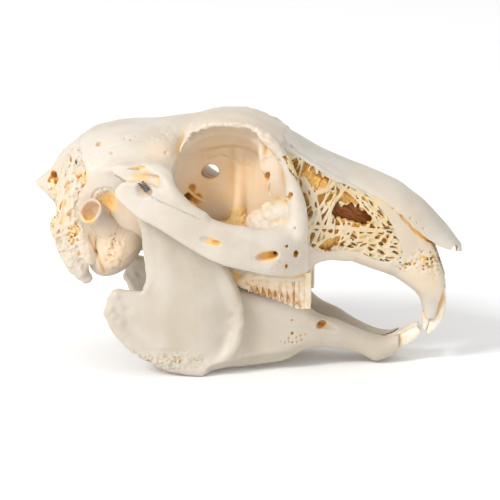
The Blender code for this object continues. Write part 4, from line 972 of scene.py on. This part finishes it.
lace = {
    "outline": [
        (7.9, 46.9), (9.4, 46.7), (11.9, 45.2), (14.4, 43.6), (16.8, 41.7), (19.0, 40.6), (21.0, 39.9),
        (23.9, 38.7), (26.4, 37.0), (28.9, 34.2), (30.7, 31.2), (32.1, 27.8), (33.2, 25.4), (32.6, 23.9),
        (29.7, 23.3), (26.9, 24.1), (24.8, 25.2), (21.6, 26.2), (18.5, 26.0), (15.6, 25.9), (14.3, 26.6),
        (13.2, 28.2), (13.2, 29.6), (12.9, 32.6), (12.5, 35.6), (11.6, 38.6), (10.4, 41.6), (9.0, 45.0),
    ],
    "openings": [  # outline in side view and how deep each stays clear; the first goes right through
        ([(17.9, 35.2), (19.0, 36.6), (20.3, 35.5), (21.2, 36.2), (23.4, 35.6), (26.6, 33.0), (25.2, 31.2),
          (22.2, 32.2), (19.0, 33.2), (17.9, 33.9)], 6.0),
        ([(15.1, 26.6), (17.2, 29.2), (19.8, 28.4), (17.3, 26.0)], 1.6),
        ([(18.8, 38.6), (20.6, 38.9), (23.4, 37.2), (22.0, 36.4), (19.4, 36.6)], 1.4),
        ([(11.8, 43.0), (13.6, 43.4), (17.2, 41.2), (16.6, 39.8), (14.4, 39.6), (12.6, 41.0)], 1.3),
    ],
    "struts": [  # radius and course of the ones that stand out
        (0.34, [(14.5, 28.3), (16.1, 32.2), (18.0, 35.7), (19.5, 37.9), (21.1, 39.8)]),
        (0.28, [(8.9, 45.9), (10.8, 43.2), (12.5, 41.0), (13.8, 38.4), (14.0, 35.2)]),
        (0.34, [(14.8, 38.6), (16.4, 39.0), (17.8, 39.8), (18.9, 41.0)]),
        (0.45, [(14.0, 31.6), (16.4, 31.5), (18.9, 31.3), (21.9, 30.9), (24.8, 30.5), (28.6, 30.2)]),
        (0.32, [(14.0, 26.3), (16.0, 28.2), (17.8, 29.4), (20.2, 29.8), (21.9, 30.6)]),
        (0.26, [(13.0, 28.7), (14.7, 32.6), (15.3, 35.2), (17.4, 38.6)]),
        (0.26, [(12.2, 41.8), (14.6, 38.0), (15.6, 34.0), (15.9, 31.6)]),
        (0.24, [(17.0, 31.6), (17.6, 34.0), (18.6, 36.6), (20.2, 38.2)]),
        (0.22, [(22.8, 38.4), (26.4, 34.6), (29.6, 31.2)]),
        (0.20, [(21.2, 38.9), (24.8, 35.2), (28.4, 31.2)]),
        (0.25, [(19.6, 28.0), (21.6, 29.2), (22.4, 30.8)]),
    ],
    # nets: lean and stretch, cell size, seed, half wall, depth
    "tall": ((0.36, 0.93, 2.4), 1.6, 31, 0.1, 2.4),
    "dense": ((0.93, -0.36, 2.4), 0.95, 32, 0.09, 1.5), "denseFromX": 20.5, "denseToZ": 30.6,
    "strip": ((0.78, -0.62, 3.4), 0.9, 33, 0.09, 1.6), "stripFrom": (24.0, 34.5), "stripLean": 0.9,
    "low": (6.8, -13.8, 21.4), "high": (33.9, -4.0, 47.9), "innerY": -4.0, "stepMm": 0.15, "rimMm": 0.5,
    # sheets behind the nets: one pitted by bubbles, and one with long streaks behind the first opening
    "floorMm": 1.35, "bubbles": (0.75, 34), "backMm": 3.7, "streaks": ((0.8, -0.6, 6.0), 0.7, 35),
    "hollowMm": 0.9, "sheetMm": 0.2, "backEdgeMm": 1.6, "deepMm": 4.6,
}


def netOf(points, depth, grain, sizeMm, seed, wall, deepest):  # a film of mesh over a foam of struts
    first, second, third = cells(grained(points, *grain), sizeMm, seed)
    film = (np.hypot((second - first) / 2 / wall, (depth - 0.3) / 0.3) - 1) * wall
    foam = np.maximum((third - first) / 2 - wall, depth - deepest)
    return np.minimum(film, foam)


def latticeNet(points, depth):  # the three nets, their openings, and the sheets of bone behind them
    x, z = points[:, 0], points[:, 2]
    loose = points + np.sin(points[:, [1, 2, 0]] * 1.9 + 1.3) * 0.22
    tall, dense, strip = (netOf(loose, depth, *lace[key]) for key in ("tall", "dense", "strip"))
    stripX, stripZ = lace["stripFrom"]
    inStrip = (z > lace["denseToZ"]) & (x + lace["stripLean"] * (z - stripZ) > stripX)
    inDense = (x > lace["denseFromX"]) & (z < lace["denseToZ"])
    net = np.where(inDense, dense, np.where(inStrip, strip, tall))
    cleared = []
    for outline, clear in lace["openings"]:
        away = insideOutline(outline, x, z) + 0.35 * np.sin(x * 3.1 + z * 2.3) * np.sin(z * 2.9 - x)
        net = np.maximum(net, np.minimum(away, clear - depth))
        cleared.append(away)
    bubbles = cells(loose, *lace["bubbles"])[0]
    floor = np.abs(depth - lace["floorMm"] - lace["hollowMm"] * bubbles) - lace["sheetMm"]
    grain, *grown = lace["streaks"]
    streaks = cells(grained(loose, *grain), *grown)[0]
    back = np.abs(depth - lace["backMm"] - lace["hollowMm"] * streaks) - lace["sheetMm"]
    net = np.minimum(net, np.maximum(floor, cleared[0]))
    return np.minimum(net, np.maximum(back, -lace["backEdgeMm"] - cleared[0]))


def makeLace(hull):
    block = finer(hull, lace["low"], lace["high"], lace["stepMm"])
    places = spread(*block["axes"])
    inside = inSideView(insideOutline, lace["outline"], places) + 0 * places[1]
    depth = -block["field"]
    near = (inside > -lace["rimMm"] - 0.2) & (depth > -0.3) & (depth < lace["deepMm"] + 0.4)
    near &= places[1] < lace["innerY"] + 0.1
    inside, depth = inside[near], depth[near]
    field, edge = np.ones((2, *near.shape), np.float32)
    field[near] = latticeNet(pointsAt(places, near), depth)
    block["field"] = field
    for radius, spots in lace["struts"]:
        path = onSide(hull, spots) + np.array((0, 0.3, 0))
        press(block, rod([(*point, radius) for point in path], steps=3), 0.12)
    edge[near] = np.maximum(np.maximum(-inside - lace["rimMm"], 0.06 - depth), depth - lace["deepMm"])
    field = np.maximum(block["field"], edge)
    x, *others = block["axes"]
    middle = len(x) * 9 // 20  # cut in two, as one piece would be too heavy
    halves = slice(0, middle + 2), slice(middle - 2, None)
    return [{**block, "axes": [x[part], *others], "field": field[part]} for part in halves]


def openLace(clay):  # takes the bone away behind the lattice
    cut, places = window(clay, lace["low"], lace["high"])
    y = places[1]
    inside = inSideView(insideOutline, lace["outline"], places)
    room = np.maximum(-inside, y + 0.4 - lace["innerY"]) + 0.2 * clouds(*places, 0.9, 41)
    room = np.maximum(room, y - lace["innerY"])
    clay["field"][cut] = softMax(clay["field"][cut], -room, 0.2)


def copyOf(clay):
    return {**clay, "field": clay["field"].copy()}


skullClay = makeSkullClay()
skullHull = copyOf(skullClay)
openLace(skullClay)
hollowSkull(skullClay)
for row in shownSutures:
    furrow(skullClay, skullHull, *row)
detailSkull(skullClay)
print("skull clay", skullClay["field"].shape)


def wholeClay(half):  # both sides of a clay that ends on the middle plane
    x, y, z = half["axes"]
    field = np.concatenate([half["field"], half["field"][:, -2::-1]], axis=1)
    return {**half, "axes": [x, np.concatenate([y, -y[-2::-1]]), z], "field": field}


wholeSkull = wholeClay(skullClay)
wholeHull = wholeClay(skullHull)


nostrilX = 41.8  # in front of it the hollow nose is as pale as the outside
shadeReach = 0.2  # how far apart the field is read for the direction of the shading
seamMm = 0.12  # points this near the uncut skin lie on the outside of the bone


def tintAt(points, hidden, spots):  # how much of a tint the spots give at each point
    rightward = points * np.where(points[:, 1:2] > 0, (1, -1, 1), (1, 1, 1))
    total = np.zeros(len(points), np.float32)
    for x, y, z, reach, strength, *bare in spots:
        gone = np.sqrt(((rightward - np.array((x, y, z))) ** 2).sum(1))
        fade = np.clip(1.4 * (1 - gone / reach), 0, 1)
        shown = np.clip(bare[0] + 1.5 * hidden, 0, 1) if bare else 1
        total = np.maximum(total, strength * fade * shown)
    return total


def boneFrom(name, block, node, material, twoSided=True, skin=None, hull=None):
    points, quads = withoutCrumbs(*skinOf(block))
    points = settle(block, points)
    normals = slopeAt(block, points, shadeReach)
    hidden = shelter(block, points, normals)
    depth = np.zeros(len(points), np.float32)
    if skin:  # the look and the shading run on across the sutures
        onOutside = np.abs(sample(skin, points)) < seamMm
        normals[onOutside] = slopeAt(skin, points[onOutside], shadeReach)
        hidden = np.maximum(hidden, shelter(skin, points, normals))
        hidden[onOutside] = shelter(skin, points[onOutside], normals[onOutside])
    if hull:
        depth = np.maximum(-sample(hull, points), 0)
        depth *= np.clip((nostrilX - points[:, 0]) / 4, 0, 1)
    values = {"hidden": hidden, "depth": depth, "grease": tintAt(points, hidden, greaseSpots)}
    # painted glow near the listed spots, none on the jaw
    values["thin"] = tintAt(points, hidden, paintedGlowSpots) * (name != "jawBone")
    made = (points, quads, normals, values, material)
    if twoSided:
        for side in ("right", "left"):
            register(makePiece(f"{name}_{side}", *made, mirror=side == "left"), f"{node}_{side}")
    else:
        register(makePiece(name, *made), node)
    print(f"{name}: {2 * len(quads)} triangles{' a side' if twoSided else ''}")


jugalInnerY = {"front": -13.2, "back": -17.4, "fromX": -4.0, "slope": 0.525}


def regions(places):  # each bone's share of the head, below zero inside it
    x, y, _ = places
    lines = (
        frontalSuture, nasalSuture, maxillaSuture, premaxillaSuture, jugalSutureBack, jugalSutureFront,
        occiputSuture,
    )
    frontal, nasal, maxilla, premaxilla, jugalBack, jugalFront, occiput = (
        inSideView(besideLine, line, places) for line in lines
    )
    front, back = -jugalInnerY["front"], -jugalInnerY["back"]
    outer = y + np.clip(front + (jugalInnerY["fromX"] - x) * jugalInnerY["slope"], front, back)
    jugal = np.maximum(np.maximum(jugalBack, jugalFront), outer)
    behind = np.maximum(np.maximum(frontal, maxilla), -jugal)
    share = {
        "frontal": -frontal,
        "nasal": np.maximum(-nasal, frontal),
        "premaxilla": np.maximum(np.maximum(-premaxilla, nasal), frontal),
        "maxilla": np.maximum(np.maximum(-maxilla, premaxilla), np.maximum(frontal, -jugal)),
        "zygomatic": jugal,
        "braincase": np.maximum(behind, -occiput),
        "occiput": np.maximum(behind, occiput),
    }
    waver = sutureWaver(places)
    return {name: value + waver for name, value in share.items()}


justPast = 0.01  # a window ends before its high corner, so this keeps the middle plane in it
headBones = {  # box, a finer grid where it has one, material
    "frontal": ((-16.5, -15.0, 43.0), (9.0, justPast, 56.6), None, bone),
    "braincase": ((-37.5, -23.4, 16.8), (3.5, 0.0, 56.0), 0.31, bone),
    "occiput": ((-48.2, -17.0, 16.8), (-30.5, 0.0, 52.0), 0.22, bone),
    "nasal": ((5.5, -13.5, 22.5), (47.6, justPast, 53.0), None, snoutPaintedShade),
    "premaxilla": ((4.0, -13.0, 9.5), (45.0, justPast, 51.0), None, snoutPaintedShade),
    "maxilla": ((-6.6, -22.5, 16.6), (34.0, justPast, 50.5), None, bone),
    "zygomatic": ((-28.5, -23.4, 20.5), (4.0, -12.0, 45.0), None, bone),
}
acrossMiddle = ("frontal", "braincase", "occiput")
halfGapMm = 0.02  # from the middle plane to the bones that come in pairs


# the corded back of the head: texture, centre, half sizes, and what the texture takes
occiputTextures = [
    (fibrous, (-39.5, -9, 35), (8.5, 8, 18), 1.15, 2.3, 0.8, 51),
    (fibrous, (-38.5, -10, 33), (7.5, 7.5, 19), 0.8, 2.2, 0.3, 52),
    (roughen, (-35.5, -11.5, 24), (5, 5, 8), 1.3, 0.3, 55),
    (spongy, (-34.2, -12.5, 43), (2.6, 4, 6), 0.4, 1, 53),
    (spongy, (-36.4, -12.4, 30), (2, 4, 4), 0.3, 0.6, 54),
]


def blockOf(clay, low, high, step):
    if step:
        return finer(clay, low, high, step)
    cut = window(clay, low, high)[0]
    axes = [axis[part] for axis, part in zip(clay["axes"], cut)]
    return {**clay, "axes": axes, "field": clay["field"][cut]}


def closeEnds(field, air=0.3):  # keeps the skin off the block's outer faces
    for axis in range(3):
        for end in (0, -1):
            face = [slice(None)] * 3
            face[axis] = end
            field[tuple(face)] = np.maximum(field[tuple(face)], air)


def boneBlock(name, low, high, step):  # a bone cut from the head along its sutures, and the uncut skin
    block = blockOf(skullClay, low, high, step)
    skin = wholeSkull
    if name == "occiput":
        textureAll(block, occiputTextures)
        skin = wholeClay(block)
    x, y, z = block["axes"]
    places = spread(x, y, z)
    field = np.maximum(block["field"], regions(places)[name] - wobble["overlapMm"]).astype(np.float32)
    if name in acrossMiddle:
        block = wholeClay({**block, "field": field})
    else:
        field = np.maximum(field, places[1] + halfGapMm)
        rear = np.ones((len(x), 2, len(z)), np.float32)
        behind = np.append(y, y[-1] + block["step"] * np.arange(1, 3))
        block = {**block, "axes": [x, behind, z], "field": np.concatenate([field, rear], axis=1)}
    closeEnds(block["field"])
    return block, skin


for name, (low, high, step, tint) in headBones.items():
    node = "braincase" if name == "occiput" else name
    block, skin = boneBlock(name, low, high, step)
    boneFrom(f"{name}Bone", block, node, tint, name not in acrossMiddle, skin, wholeHull)
for part, piece in enumerate(makeLace(skullHull)):
    boneFrom(f"snoutLace{part + 1}", piece, "maxilla", spongyBone, hull=wholeHull)


earBulb = ((-27.9, -8.8, 26.4), (4.9, 4.9, 7.8), 38)  # centre, half sizes, degrees that it leans back
earTube = [
    (-26.6, -8.8, 26.6, 4.2), (-28.8, -10.8, 30.2, 3.3), (-31, -13.4, 33.4, 2.8),
    (-32.5, -16.4, 35.5, 2.75),
]


earBox = (-37.4, -20.4, 17.5), (-19.5, -2.5, 41.4)
earStep = 0.22
earFurrows = [
    (0.5, 0.2, [(-28.3, 34), (-26.2, 33), (-23.9, 31.9)]),
    (0.4, 0.2, [(-32.9, 27.6), (-31.8, 25.4), (-30.8, 23), (-30.2, 21)]),
]
earTextures = [
    (fibrous, (-28, -12.5, 27.5), (3, 4, 6), 0.9, 2.4, 0.3, 64),
    (roughen, (-28, -13, 25.5), (3, 4, 5), 0.8, 0.45, 61),
    (roughen, (-32.8, -16, 36), (4, 4, 4), 1, 0.22, 62),
    (spongy, (-28.2, -12.8, 28), (1.5, 2.5, 4.6), 0.32, 0.7, 63),
]


def makeEarClay():
    clay = newClay(*earBox, earStep)
    press(clay, ball(*earBulb))
    press(clay, rod(earTube, flat=True), 1.5)
    carve(clay, rod(earHole), 0.35)
    for row in earFurrows:
        groove(clay, *row)
    textureAll(clay, earTextures)
    return clay


boneFrom("earCapsule", makeEarClay(), "bulla", capsulePaintedShade)

jawBox = (-31.0, -19.0, -1.0), (35.0, 0.5, 43.0)
jawHalfGapMm = 0.12  # from the middle plane to each half of the jaw
jawForms = {
    "jawBody": (plate, 0, [
        (-8, -12.5, 0.8, -13, 14, 1.5), (-4, -11.6, 0.5, -10.2, 19, 3, -0.6),
        (0, -11, 0.6, -8.6, 17.2, 3.3, -0.9), (4, -10.2, 1, -7.8, 16.2, 3.2, -0.9),
        (9, -9, 1.8, -7.2, 15, 2.9, -0.7), (12, -7.8, 3.4, -6.8, 13.9, 2.7, -0.4),
        (14.5, -6.6, 3.9, -6.2, 11.8, 2.5), (19.5, -4.6, 3.2, -4.8, 9.6, 2.4),
        (24.5, -3, 1.6, -3.4, 7, 2.5), (27.6, -2.6, 0.05, -2.9, 5.9, 2.5),
        (30.5, -2.4, 0.9, -2.5, 5.6, 2.2), (32.6, -2.3, 2, -2.3, 6.2, 1.9),
    ]),
    "jawBlade": (plate, 1.2, [
        (-21.6, -15.5, 27.5, -15.9, 36.5, 0.5), (-20, -15.4, 13, -15.9, 39.6, 0.6, 0.2),
        (-17, -15.8, 2.2, -15.6, 38, 0.6, 0.9), (-14, -15.9, 1, -15.2, 34.6, 0.6, 1),
        (-10.5, -15.8, 0.4, -15, 30.3, 0.7, 1), (-7, -14.9, 0.2, -14.5, 26.6, 1, 0.6),
        (-4.3, -13.6, 0.8, -13.8, 23.6, 1.5, -0.2), (-1, -12.6, 2, -12.6, 17, 1.6, -0.5),
    ]),
    "jawAngle": (plate, 0.8, [
        (-29.3, -15.6, 13.6, -15.6, 16.2, 0.8), (-28.2, -15.8, 11.2, -15.6, 17.8, 1.2),
        (-25, -15.9, 6.6, -15.4, 18.2, 1.1, 0.2), (-21.5, -16, 4, -15.2, 18, 1, 0.5),
        (-17, -16, 2, -15, 20, 1, 0.8), (-12, -15.8, 1.6, -14.8, 20, 0.3, 0.8),
    ]),
    "jawRim": (rod, 2, [
        (-28.6, -16.3, 13, 0.9, 1.2), (-26.5, -16.5, 9, 0.9, 1.2), (-22, -16.6, 5, 0.9, 1.2),
        (-16, -16.6, 2.4, 0.9, 1.2), (-9.5, -16.2, 1, 1), (-5.5, -15.8, 2.4, 1), (-2.4, -15, 6, 1),
        (-1, -14.4, 11.5, 0.9), (-2.2, -14.2, 16, 0.8), (-4.2, -14.2, 21.5, 0.8),
    ]),
    "jawNeck": (rod, 0.8, [
        (-23.2, -16.2, 38, 1.1, 1.3), (-21.6, -15.9, 34, 1, 1.2), (-19.6, -15.4, 28.5, 1),
        (-19.1, -15.5, 23, 1, 0.9), (-20.6, -15.6, 18.6, 1),
    ]),
    "jawCondyle": (rod, 0.8, [
        (-25.2, -16, 38.2, 0.8), (-23.6, -16, 39.8, 1.15, 1.3), (-20.5, -16, 40.4, 1.15, 1.4),
        (-17.6, -16, 39, 1, 1.1),
    ]),
}
underJaw = [  # the hollow under the body's outer edge
    (-5, -17.4, -0.8, 3.6), (0, -15.2, -0.2, 3.9), (5, -13.8, 0.1, 3.9), (9.5, -12.3, 0.5, 3.8),
    (13.6, -10.6, 1, 3.4), (17.6, -8.6, 0.8, 2.8),
]
jawPits = [  # x, z, radius
    (9.8, 7.8, 0.36), (9.7, 10.7, 0.26), (8.3, 5.9, 0.22), (9.1, 6.8, 0.24), (9.9, 5.9, 0.26),
    (10.7, 6.9, 0.22), (11.6, 7.2, 0.22), (11.8, 6.3, 0.24), (12.6, 7.4, 0.2), (7.4, 6.2, 0.22),
    (10.9, 6, 0.2), (9.2, 6.1, 0.2),
]
jawHollows = [((16, -8.2, 9.3), (1.15, 2.4, 0.85), -14, 0.3), ((18.2, -8.1, 8.6), (2.4, 1.3, 0.65), 16, 0.5)]
jawPatches = [  # centre, half sizes, size and height of the lumps, seed
    ((-27, -16.5, 13.5), (3.6, 3, 5.5), 1.3, 0.25, 71), ((-18, -16.8, 3.6), (12, 3, 3.4), 1.1, 0.3, 72),
    ((-1.5, -15, 9), (2.4, 3, 9), 1.6, 0.25, 73),
]
jawPores = ((-18, -17, 3.4), (11, 2.4, 3), 0.28, 0.4, 74)


def makeJawHull():
    clay = newClay(*jawBox, clayStep)
    pressAll(clay, jawForms)
    carve(clay, rod(underJaw), 0.6)
    return clay


def makeJawClay(hull):
    clay = copyOf(hull)
    carve(clay, socketOf(lowerIncisor))
    for centre, radii, leanDeg, soft in jawHollows:
        carve(clay, ball(centre, radii, leanDeg), soft)
    for mouth, (*_, r) in zip(onSide(clay, [pit[:2] for pit in jawPits]), jawPits):
        carve(clay, ball(mouth, (r, 3 * r, r)), 0.06)
    for row in jawPatches:
        roughen(clay, *row)
    spongy(clay, *jawPores)
    swells(clay, 76)
    clay["field"] = np.maximum(clay["field"], spread(*clay["axes"])[1] + jawHalfGapMm)
    return clay


jawHull = makeJawHull()
boneFrom("jawBone", makeJawClay(jawHull), "mandible", jawTint, hull=jawHull)

# Cheek teeth: tall lobes packed side by side, with cement between them. The lobes in front of frontX
# stand upright and end flat, as the row's foremost tooth does. grow is 1 for teeth that grow up.
cement = {"halfX": 0.6, "halfY": 1.75, "taper": 0.0, "rise": 0.3}
upperTeeth = {
    "lobes": [0.5 + 1.33 * k for k in range(8)] + [10.9, 11.6, 12.3, 13.0], "y": -8.9, "halfX": 0.68,
    "halfY": 2.1, "rootZ": 21.5, "lean": 0.16, "taper": 3.2, "rise": 0.0, "frontX": 10.5,
    "frontTip": 11.9, "frontCut": 0.9, "grow": -1, "pastBite": -0.45, "grooves": (11.25, 12.35),
    "cement": cement,
}
lowerTeeth = {
    "lobes": [-0.5 + 1.25 * k for k in range(11)], "y": -7.5, "halfX": 0.62, "halfY": 1.9,
    "rootZ": 13.0, "lean": -0.06, "taper": 1.6, "rise": 0.0, "frontX": math.inf, "grow": 1,
    "pastBite": 0.25, "grooves": (), "cement": {**cement, "halfY": 1.6},
}
biteBack, biteFront = (-1.0, 17.7), (13.6, 13.8)  # x and z of the line that the teeth meet on
teethBox = (-4.0, -12.0, 8.0), (16.0, -4.5, 25.0)


def biteHeight(x):
    return biteBack[1] + (x - biteBack[0]) * (biteFront[1] - biteBack[1]) / (biteFront[0] - biteBack[0])


def lobe(x0, row, corner=0.4):  # one upright lobe of a cheek tooth
    turn, lean, taper = row["grow"], row["lean"], row["taper"]
    bite = biteHeight(x0) + (row["pastBite"] - turn * row["rise"])
    if x0 > row["frontX"]:
        bite += max(0.0, row["frontTip"] - x0) * row["frontCut"]
        lean = taper = 0.0

    def distance(x, y, z):
        u = np.abs(x - x0 + lean * (z - bite))
        v = np.abs(y - row["y"])
        beyondX, beyondY = u - row["halfX"] + corner, v - row["halfY"] + corner
        side = np.hypot(np.maximum(beyondX, 0), np.maximum(beyondY, 0)) - corner
        crown = ((z - bite) * turn + taper * u) / math.hypot(1, taper)
        return np.maximum(softMax(side, crown, 0.2), (row["rootZ"] - z) * turn)

    low, high = sorted((bite, row["rootZ"]))
    halfX, halfY = row["halfX"] + 1.2, row["halfY"]
    return distance, (x0 - halfX, row["y"] - halfY, low - 0.5), (x0 + halfX, row["y"] + halfY, high + 0.5)


def makeTeeth(row, soft=0.05, grooveMm=0.18):
    clay = newClay(*teethBox, toothStep)
    for x0 in row["lobes"]:
        press(clay, lobe(x0, row), soft)
    for before, after in zip(row["lobes"], row["lobes"][1:]):
        press(clay, lobe((before + after) / 2, {**row, **row["cement"]}), soft)
    outer = row["y"] - row["halfY"] - 0.05
    for x0 in row["grooves"]:
        ends = [(x0, outer, row["rootZ"], grooveMm), (x0, outer, biteHeight(x0) - 0.5, grooveMm)]
        carve(clay, rod(ends), 0.1)
    x, y, z = spread(*clay["axes"])
    clay["field"] += 0.06 * clouds(x * 2.2, y * 2.2, z * 0.35, 0.9, 81)
    return clay


boneFrom("upperCheekTeeth", makeTeeth(upperTeeth), "maxilla", cheekEnamel)
boneFrom("lowerCheekTeeth", makeTeeth(lowerTeeth), "mandible", cheekEnamel)


def makeIncisor(rows, grooveRows):
    low, high = np.min(rows, axis=0)[:3], np.max(rows, axis=0)[:3]
    clay = newClay(low - formReach, high + formReach, toothStep)
    press(clay, rod(rows, power=2.8, flat=True))
    if grooveRows:
        carve(clay, rod(grooveRows), 0.15)
    clay["field"] += 0.03 * clouds(*spread(*clay["axes"]), 1.3, 91)
    return clay


for name, rows, grooveRows, node in (
    ("upperIncisor", upperIncisor, incisorGroove, "upper_incisor"),
    ("pegTooth", pegTooth, None, "peg_tooth"), ("lowerIncisor", lowerIncisor, None, "lower_incisor"),
):
    boneFrom(name, makeIncisor(rows, grooveRows), node, frontEnamel)

# springs at the jaw joints
spring = {
    "turns": 5, "sides": 20, "coilMm": 0.6, "wireMm": 0.12,
    "start": (-21.2, -20.7, 42.6), "end": (-19.7, -21.0, 40.7),
}


def makeSpring(name, mirror):
    start, end = Vector(spring["start"]), Vector(spring["end"])
    axis = end - start
    aside = axis.orthogonal().normalized()
    other = axis.normalized().cross(aside)
    curve = bpy.data.curves.new(name, "CURVE")
    curve.dimensions = "3D"
    curve.bevel_depth = spring["wireMm"] * mm
    curve.bevel_resolution = 3
    wire = curve.splines.new("POLY")
    last = spring["turns"] * spring["sides"]
    wire.points.add(last)
    for k in range(last + 1):
        turn = 2 * math.pi * k / spring["sides"]
        outward = aside * math.cos(turn) + other * math.sin(turn)
        point = start + axis * (k / last) + spring["coilMm"] * outward
        y = -point.y if mirror else point.y
        wire.points[k].co = ((point.x - middleX) * mm, y * mm, (point.z - seatDrop) * mm, 1)
    curve.materials.append(springSteel)
    return addObject(name, curve)


for side in ("right", "left"):
    register(makeSpring(f"jointSpring_{side}", side == "left"), f"spring_{side}")
print("springs")

studio = {
    "azimuthDeg": 4.0, "elevationDeg": 13.0, "distance": 0.45, "target": (0.00055, 0.0, 0.02575),
    "lensMm": 149.0, "sensorMm": 36.0, "shiftY": -0.016, "skyStrength": 0.8, "lookAt": (0, 0, 0.02),
    "keyWatts": 31.0, "keySize": 0.6, "keyAt": (-1.3, -1.25, 1.5),
    "fillWatts": 2.2, "fillSize": 0.8, "fillAt": (-0.3, -1.2, 0.3), "floorReach": 3.0,
}


def paperMaterial():  # matt white paper, pulled smooth: no gloss and no pattern to see
    paper, _, surface = newMaterial("whitePaperSweep")
    surface.inputs["Base Color"].default_value = linear("#FCFCFC")
    surface.inputs["Roughness"].default_value = 0.95
    surface.inputs["Specular IOR Level"].default_value = 0.2
    return paper


def makeStudio():
    reach = studio["floorReach"]
    corners = [(-reach, -reach, 0), (reach, -reach, 0), (reach, reach, 0), (-reach, reach, 0)]
    mesh = bpy.data.meshes.new("studioFloor")
    mesh.from_pydata(corners, [], [(0, 1, 2, 3)])
    mesh.materials.append(paperMaterial())
    floor = addObject("studioFloor", mesh)
    world = bpy.data.worlds.new("studioSky")
    world.use_nodes = True
    sky = world.node_tree.nodes["Background"]
    sky.inputs["Color"].default_value = (1, 1, 1, 1)
    sky.inputs["Strength"].default_value = studio["skyStrength"]
    bpy.context.scene.world = world
    for name in ("key", "fill"):
        light = bpy.data.lights.new(f"{name}Softbox", "AREA")
        light.energy = studio[f"{name}Watts"]
        light.size = studio[f"{name}Size"]
        lamp = addObject(f"{name}Softbox", light)
        lamp.location = studio[f"{name}At"]
        lamp.rotation_euler = (lamp.location - Vector(studio["lookAt"])).to_track_quat("Z", "Y").to_euler()


def makeCamera():
    lens = bpy.data.cameras.new("camera")
    lens.lens = studio["lensMm"]
    lens.sensor_width = studio["sensorMm"]
    lens.shift_y = studio["shiftY"]
    camera = addObject("camera", lens)
    az, el = math.radians(studio["azimuthDeg"]), math.radians(studio["elevationDeg"])
    back = Vector((math.sin(az) * math.cos(el), -math.cos(az) * math.cos(el), math.sin(el)))
    camera.location = Vector(studio["target"]) + back * studio["distance"]
    camera.rotation_euler = back.to_track_quat("Z", "Y").to_euler()
    bpy.context.scene.camera = camera
    bpy.context.scene.view_settings.view_transform = "Standard"


makeStudio()
makeCamera()
print("studio and camera")
